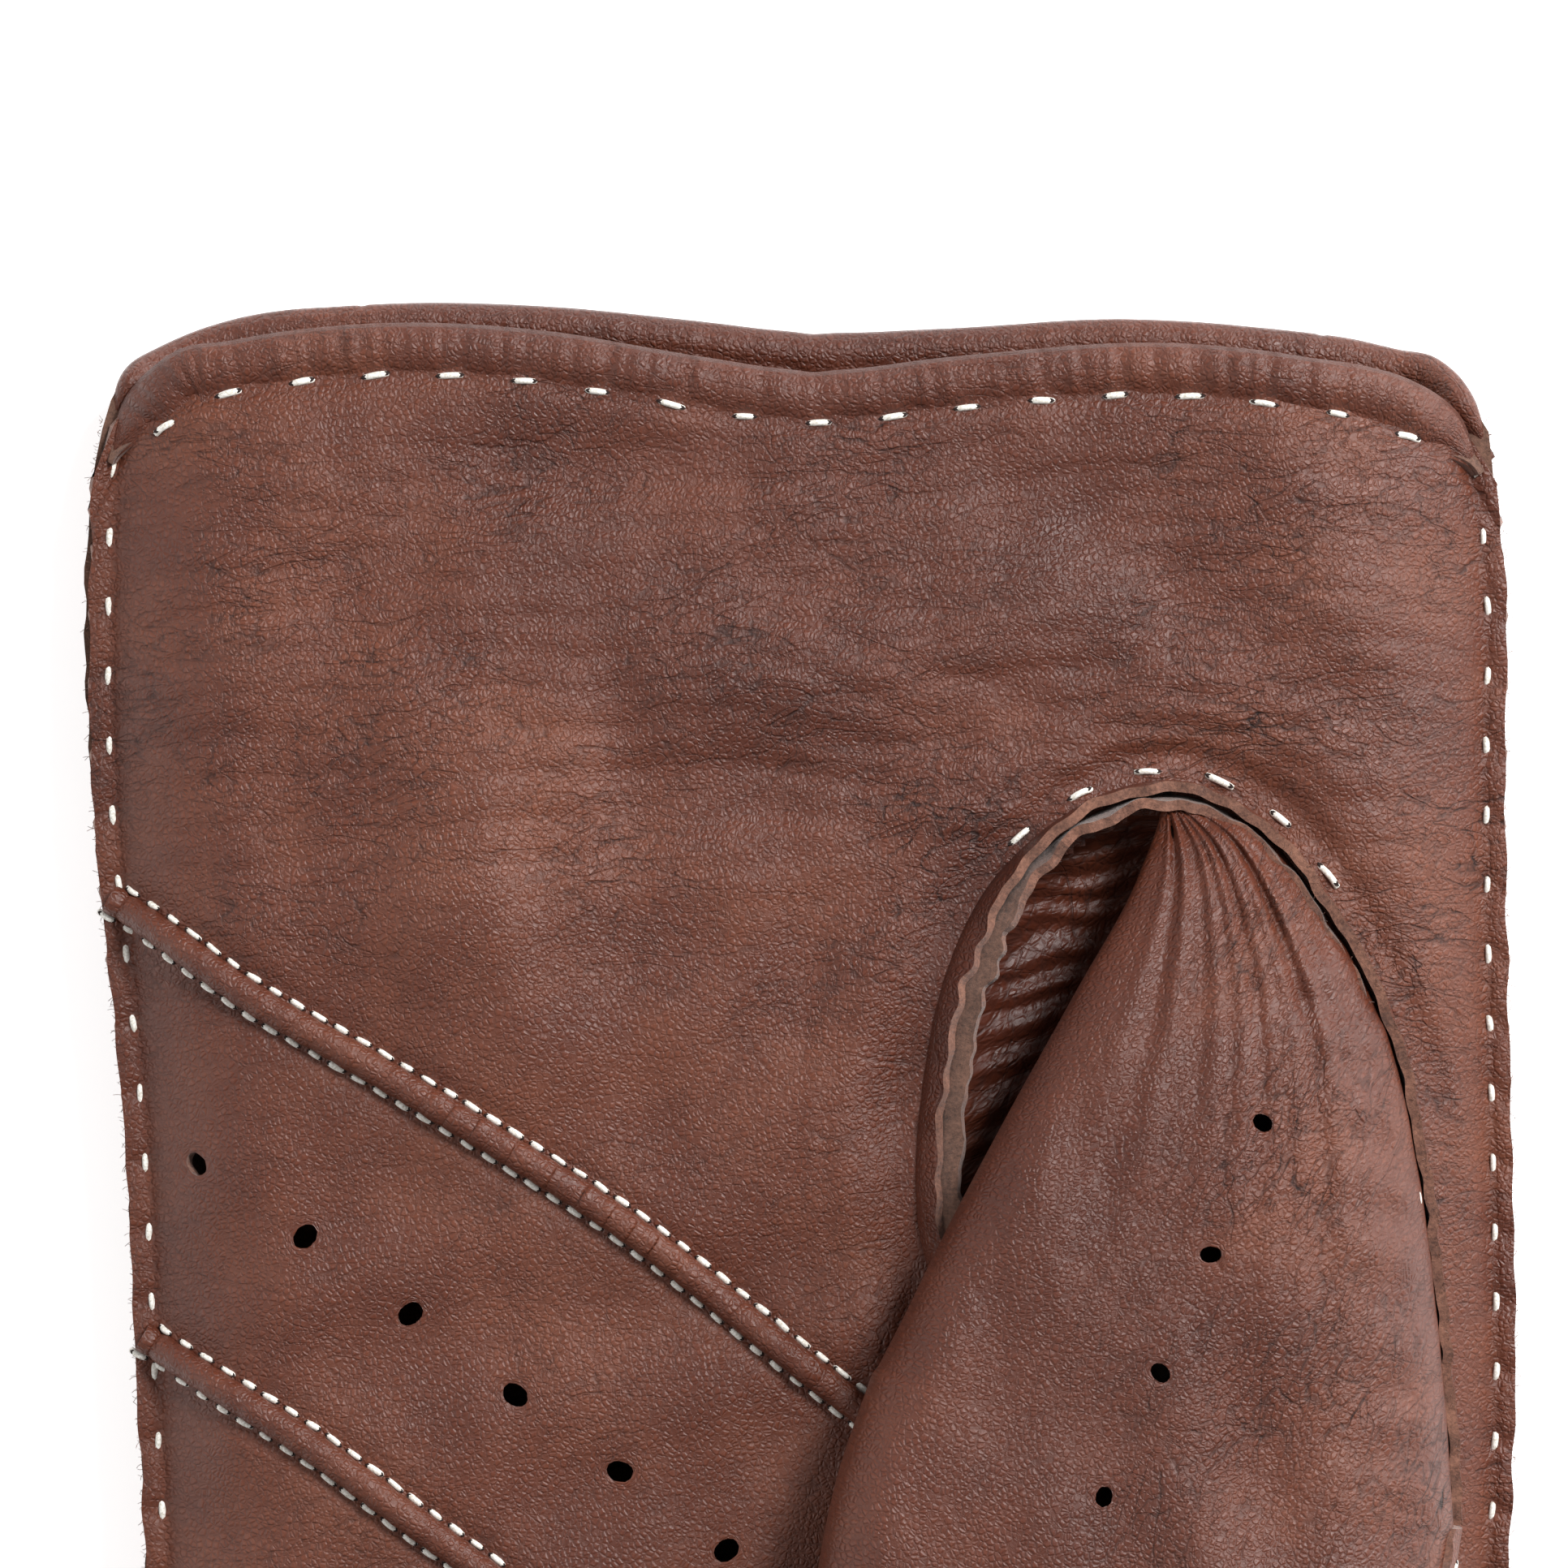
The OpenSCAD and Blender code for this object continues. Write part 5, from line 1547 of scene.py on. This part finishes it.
def fingerStitches():
    rows = {"lower": 120, "tip": 300, "round": 200}
    pitch = glove["stitchPitch"]
    for number, finger in enumerate(fingers):
        edgeX, edgeY, spineY, side, closing = fingerOutline(finger, rows)
        normal = np.column_stack([edgeX, edgeY - spineY]) / np.hypot(edgeX, spineY - edgeY)[:, None]
        line = np.column_stack([finger["mid"] + edgeX, edgeY]) - normal * glove["seamAllowance"]
        # the back's stitches fall halfway between the front's
        places = {}
        for up, first in ((1, 0.999), (-1, 0.5)):
            z = seamLine(finger, side * finger["outer"] > 0, closing, up > 0)
            places[up] = everyPitch(np.column_stack([line, z]), pitch, pitch * first)
        for label in (finger["name"] + "Base", finger["name"] + "Tip"):
            lines = []
            for up, found in places.items():
                inPart = (found[:, 1] > finger["splitY"]) == label.endswith("Base")
                chosen = found[inPart & (found[:, 1] < crotchY - 1.5)]
                breaks = np.where(np.linalg.norm(np.diff(chosen[:, :2], axis=0), axis=1) > 9)[0] + 1
                lines += [(piece + [0, 0, 0.02 * up], facing(piece, 0, 0, up))
                          for piece in np.split(chosen, breaks) if len(piece) > 1]
            sew(nodeOf(label, "thread"), lines, "finger",
                lambda piece, label=label: rideFinger(piece), 41 + number)


def thumbStitches():
    path = alongPath([thumbSeam["rightFoot"]] + thumbSeam["right"] + thumbSeam["left"], 300)
    aside = leftOf(path)
    # the thread shows on the palm over the top, and on the thumb's side lower down
    span = len(path)
    outer = everyPitch((path - aside * 1.75)[int(0.47 * span):int(0.74 * span)], 5.6, 1.0)
    inner = everyPitch((path + aside * 0.75)[:int(0.27 * span)], 5.6, 3.0)
    leaning = facing(inner, 0.75, -0.1, 0.65)
    inner = np.column_stack([inner, palmHeight(inner[:, 0], inner[:, 1], False) + 3.3]) + 0.3 * leaning
    sew("thumb_seam_thread", [onSurface(outer, palmHeight, 0.15), (inner, leaning)], "side", onHand, 51)
    u = np.arange(-6.0, thumb["tipStart"] + 1, glove["stitchPitch"])
    plan = besideThumb(u, through(thumb["halfWidth"], u) + 0.7)
    points = np.column_stack([plan, through(thumb["heights"], freeShare(u))[:, 2] + 0.95])
    sew("thumb_thread", [(points, facing(points, 0, 0, 1)), (points - [0, 0, 1.9], facing(points, 0, 0, -1))],
        "side", blendThumb, 52)


fuzz = {"spacing": 0.55, "length": 0.75, "thick": 0.05, "spread": 62}


def fuzzTree():
    tree, given, result = newTree("fibresAlongEdge", {
        "Length": "Float", "Thickness": "Float", "Spread": "Float", "Seed": "Int", "Fibre": "Material"})
    bow = calc(tree, "MULTIPLY", given["Length"], 0.35)
    hair = addNode(tree, "GeometryNodeCurveQuadraticBezier", Resolution=3, Start=(0.0, 0.0, 0.0),
                   Middle=vectorOf(tree, X=bow, Z=bow), End=vectorOf(tree, X=given["Length"]))
    fibre = threadAlong(tree, hair.outputs[0], given["Thickness"], 3)
    away = readBack(tree, "surfaceUp", "FLOAT_VECTOR")
    pointed = addNode(tree, "FunctionNodeAlignRotationToVector", {"axis": "X"}, Vector=away)
    less = calc(tree, "MULTIPLY", given["Spread"], -1.0)
    spin = addNode(tree, "FunctionNodeRandomValue", {"data_type": "FLOAT_VECTOR"}, Seed=given["Seed"],
                   in0=vectorOf(tree, X=-3.1, Y=less, Z=less),
                   in1=vectorOf(tree, X=3.1, Y=given["Spread"], Z=given["Spread"]))
    real = scattered(tree, given, fibre, pointed.outputs[0], spin.outputs[0],
                     (0.25, 0.7, 0.4), (1.15, 1.2, 1.2))
    look = addNode(tree, "GeometryNodeSetMaterial", Geometry=real, Material=given["Fibre"])
    tree.links.new(look.outputs[0], result.inputs[0])
    return tree


def makeFuzz():
    # loose fibres of the cut edges: along both sides of the hand and along the thumb's standing seam
    rng = np.random.default_rng(7)
    lines = []
    for side, edge in ((-1, leftEdge), (1, rightEdge)):
        for z, more in ((glove["seamTop"] - 0.5, 0.0), (glove["seamTop"] - 1.4, 0.25)):
            y = np.arange(crotchY + 4, cuffY - 9, fuzz["spacing"])
            y = y + rng.uniform(-0.3, 0.3, len(y))
            thicker = more * np.exp(-((y - 93) / 11) ** 2) if side < 0 else 0 * y
            x = edge(y) + side * (thicker - 0.12)
            away = np.tile([float(side), 0.0, 0.0], (len(y), 1))
            lines.append((np.column_stack([x, y, np.full(len(y), z)]), away))
    path = alongPath([thumbSeam["rightFoot"]] + thumbSeam["right"] + thumbSeam["left"], 330)
    outward = leftOf(path)
    base = palmHeight(path[:, 0], path[:, 1], False)
    for offset in (-0.7, 0.7):
        points = np.column_stack([path + outward * offset, base + 1.95])
        away = np.column_stack([outward * 0.3 * np.sign(offset), np.ones(len(path))])
        lines.append((points[:175], away[:175]))
    made = runTree(lineMesh("cutEdgeFibres", lines), fuzzTree(), {
        "Length": fuzz["length"] * mm, "Thickness": fuzz["thick"] * mm,
        "Spread": math.radians(fuzz["spread"]), "Seed": 5, "Fibre": cutEdge}, "cut_edge_fibres")
    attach(made, "hand")


sideStitches()
hemStitches()
makeWelts()
makeBackPoints()
fingerStitches()
thumbStitches()
makeFuzz()
print("stitches, welts and loose fibres made")
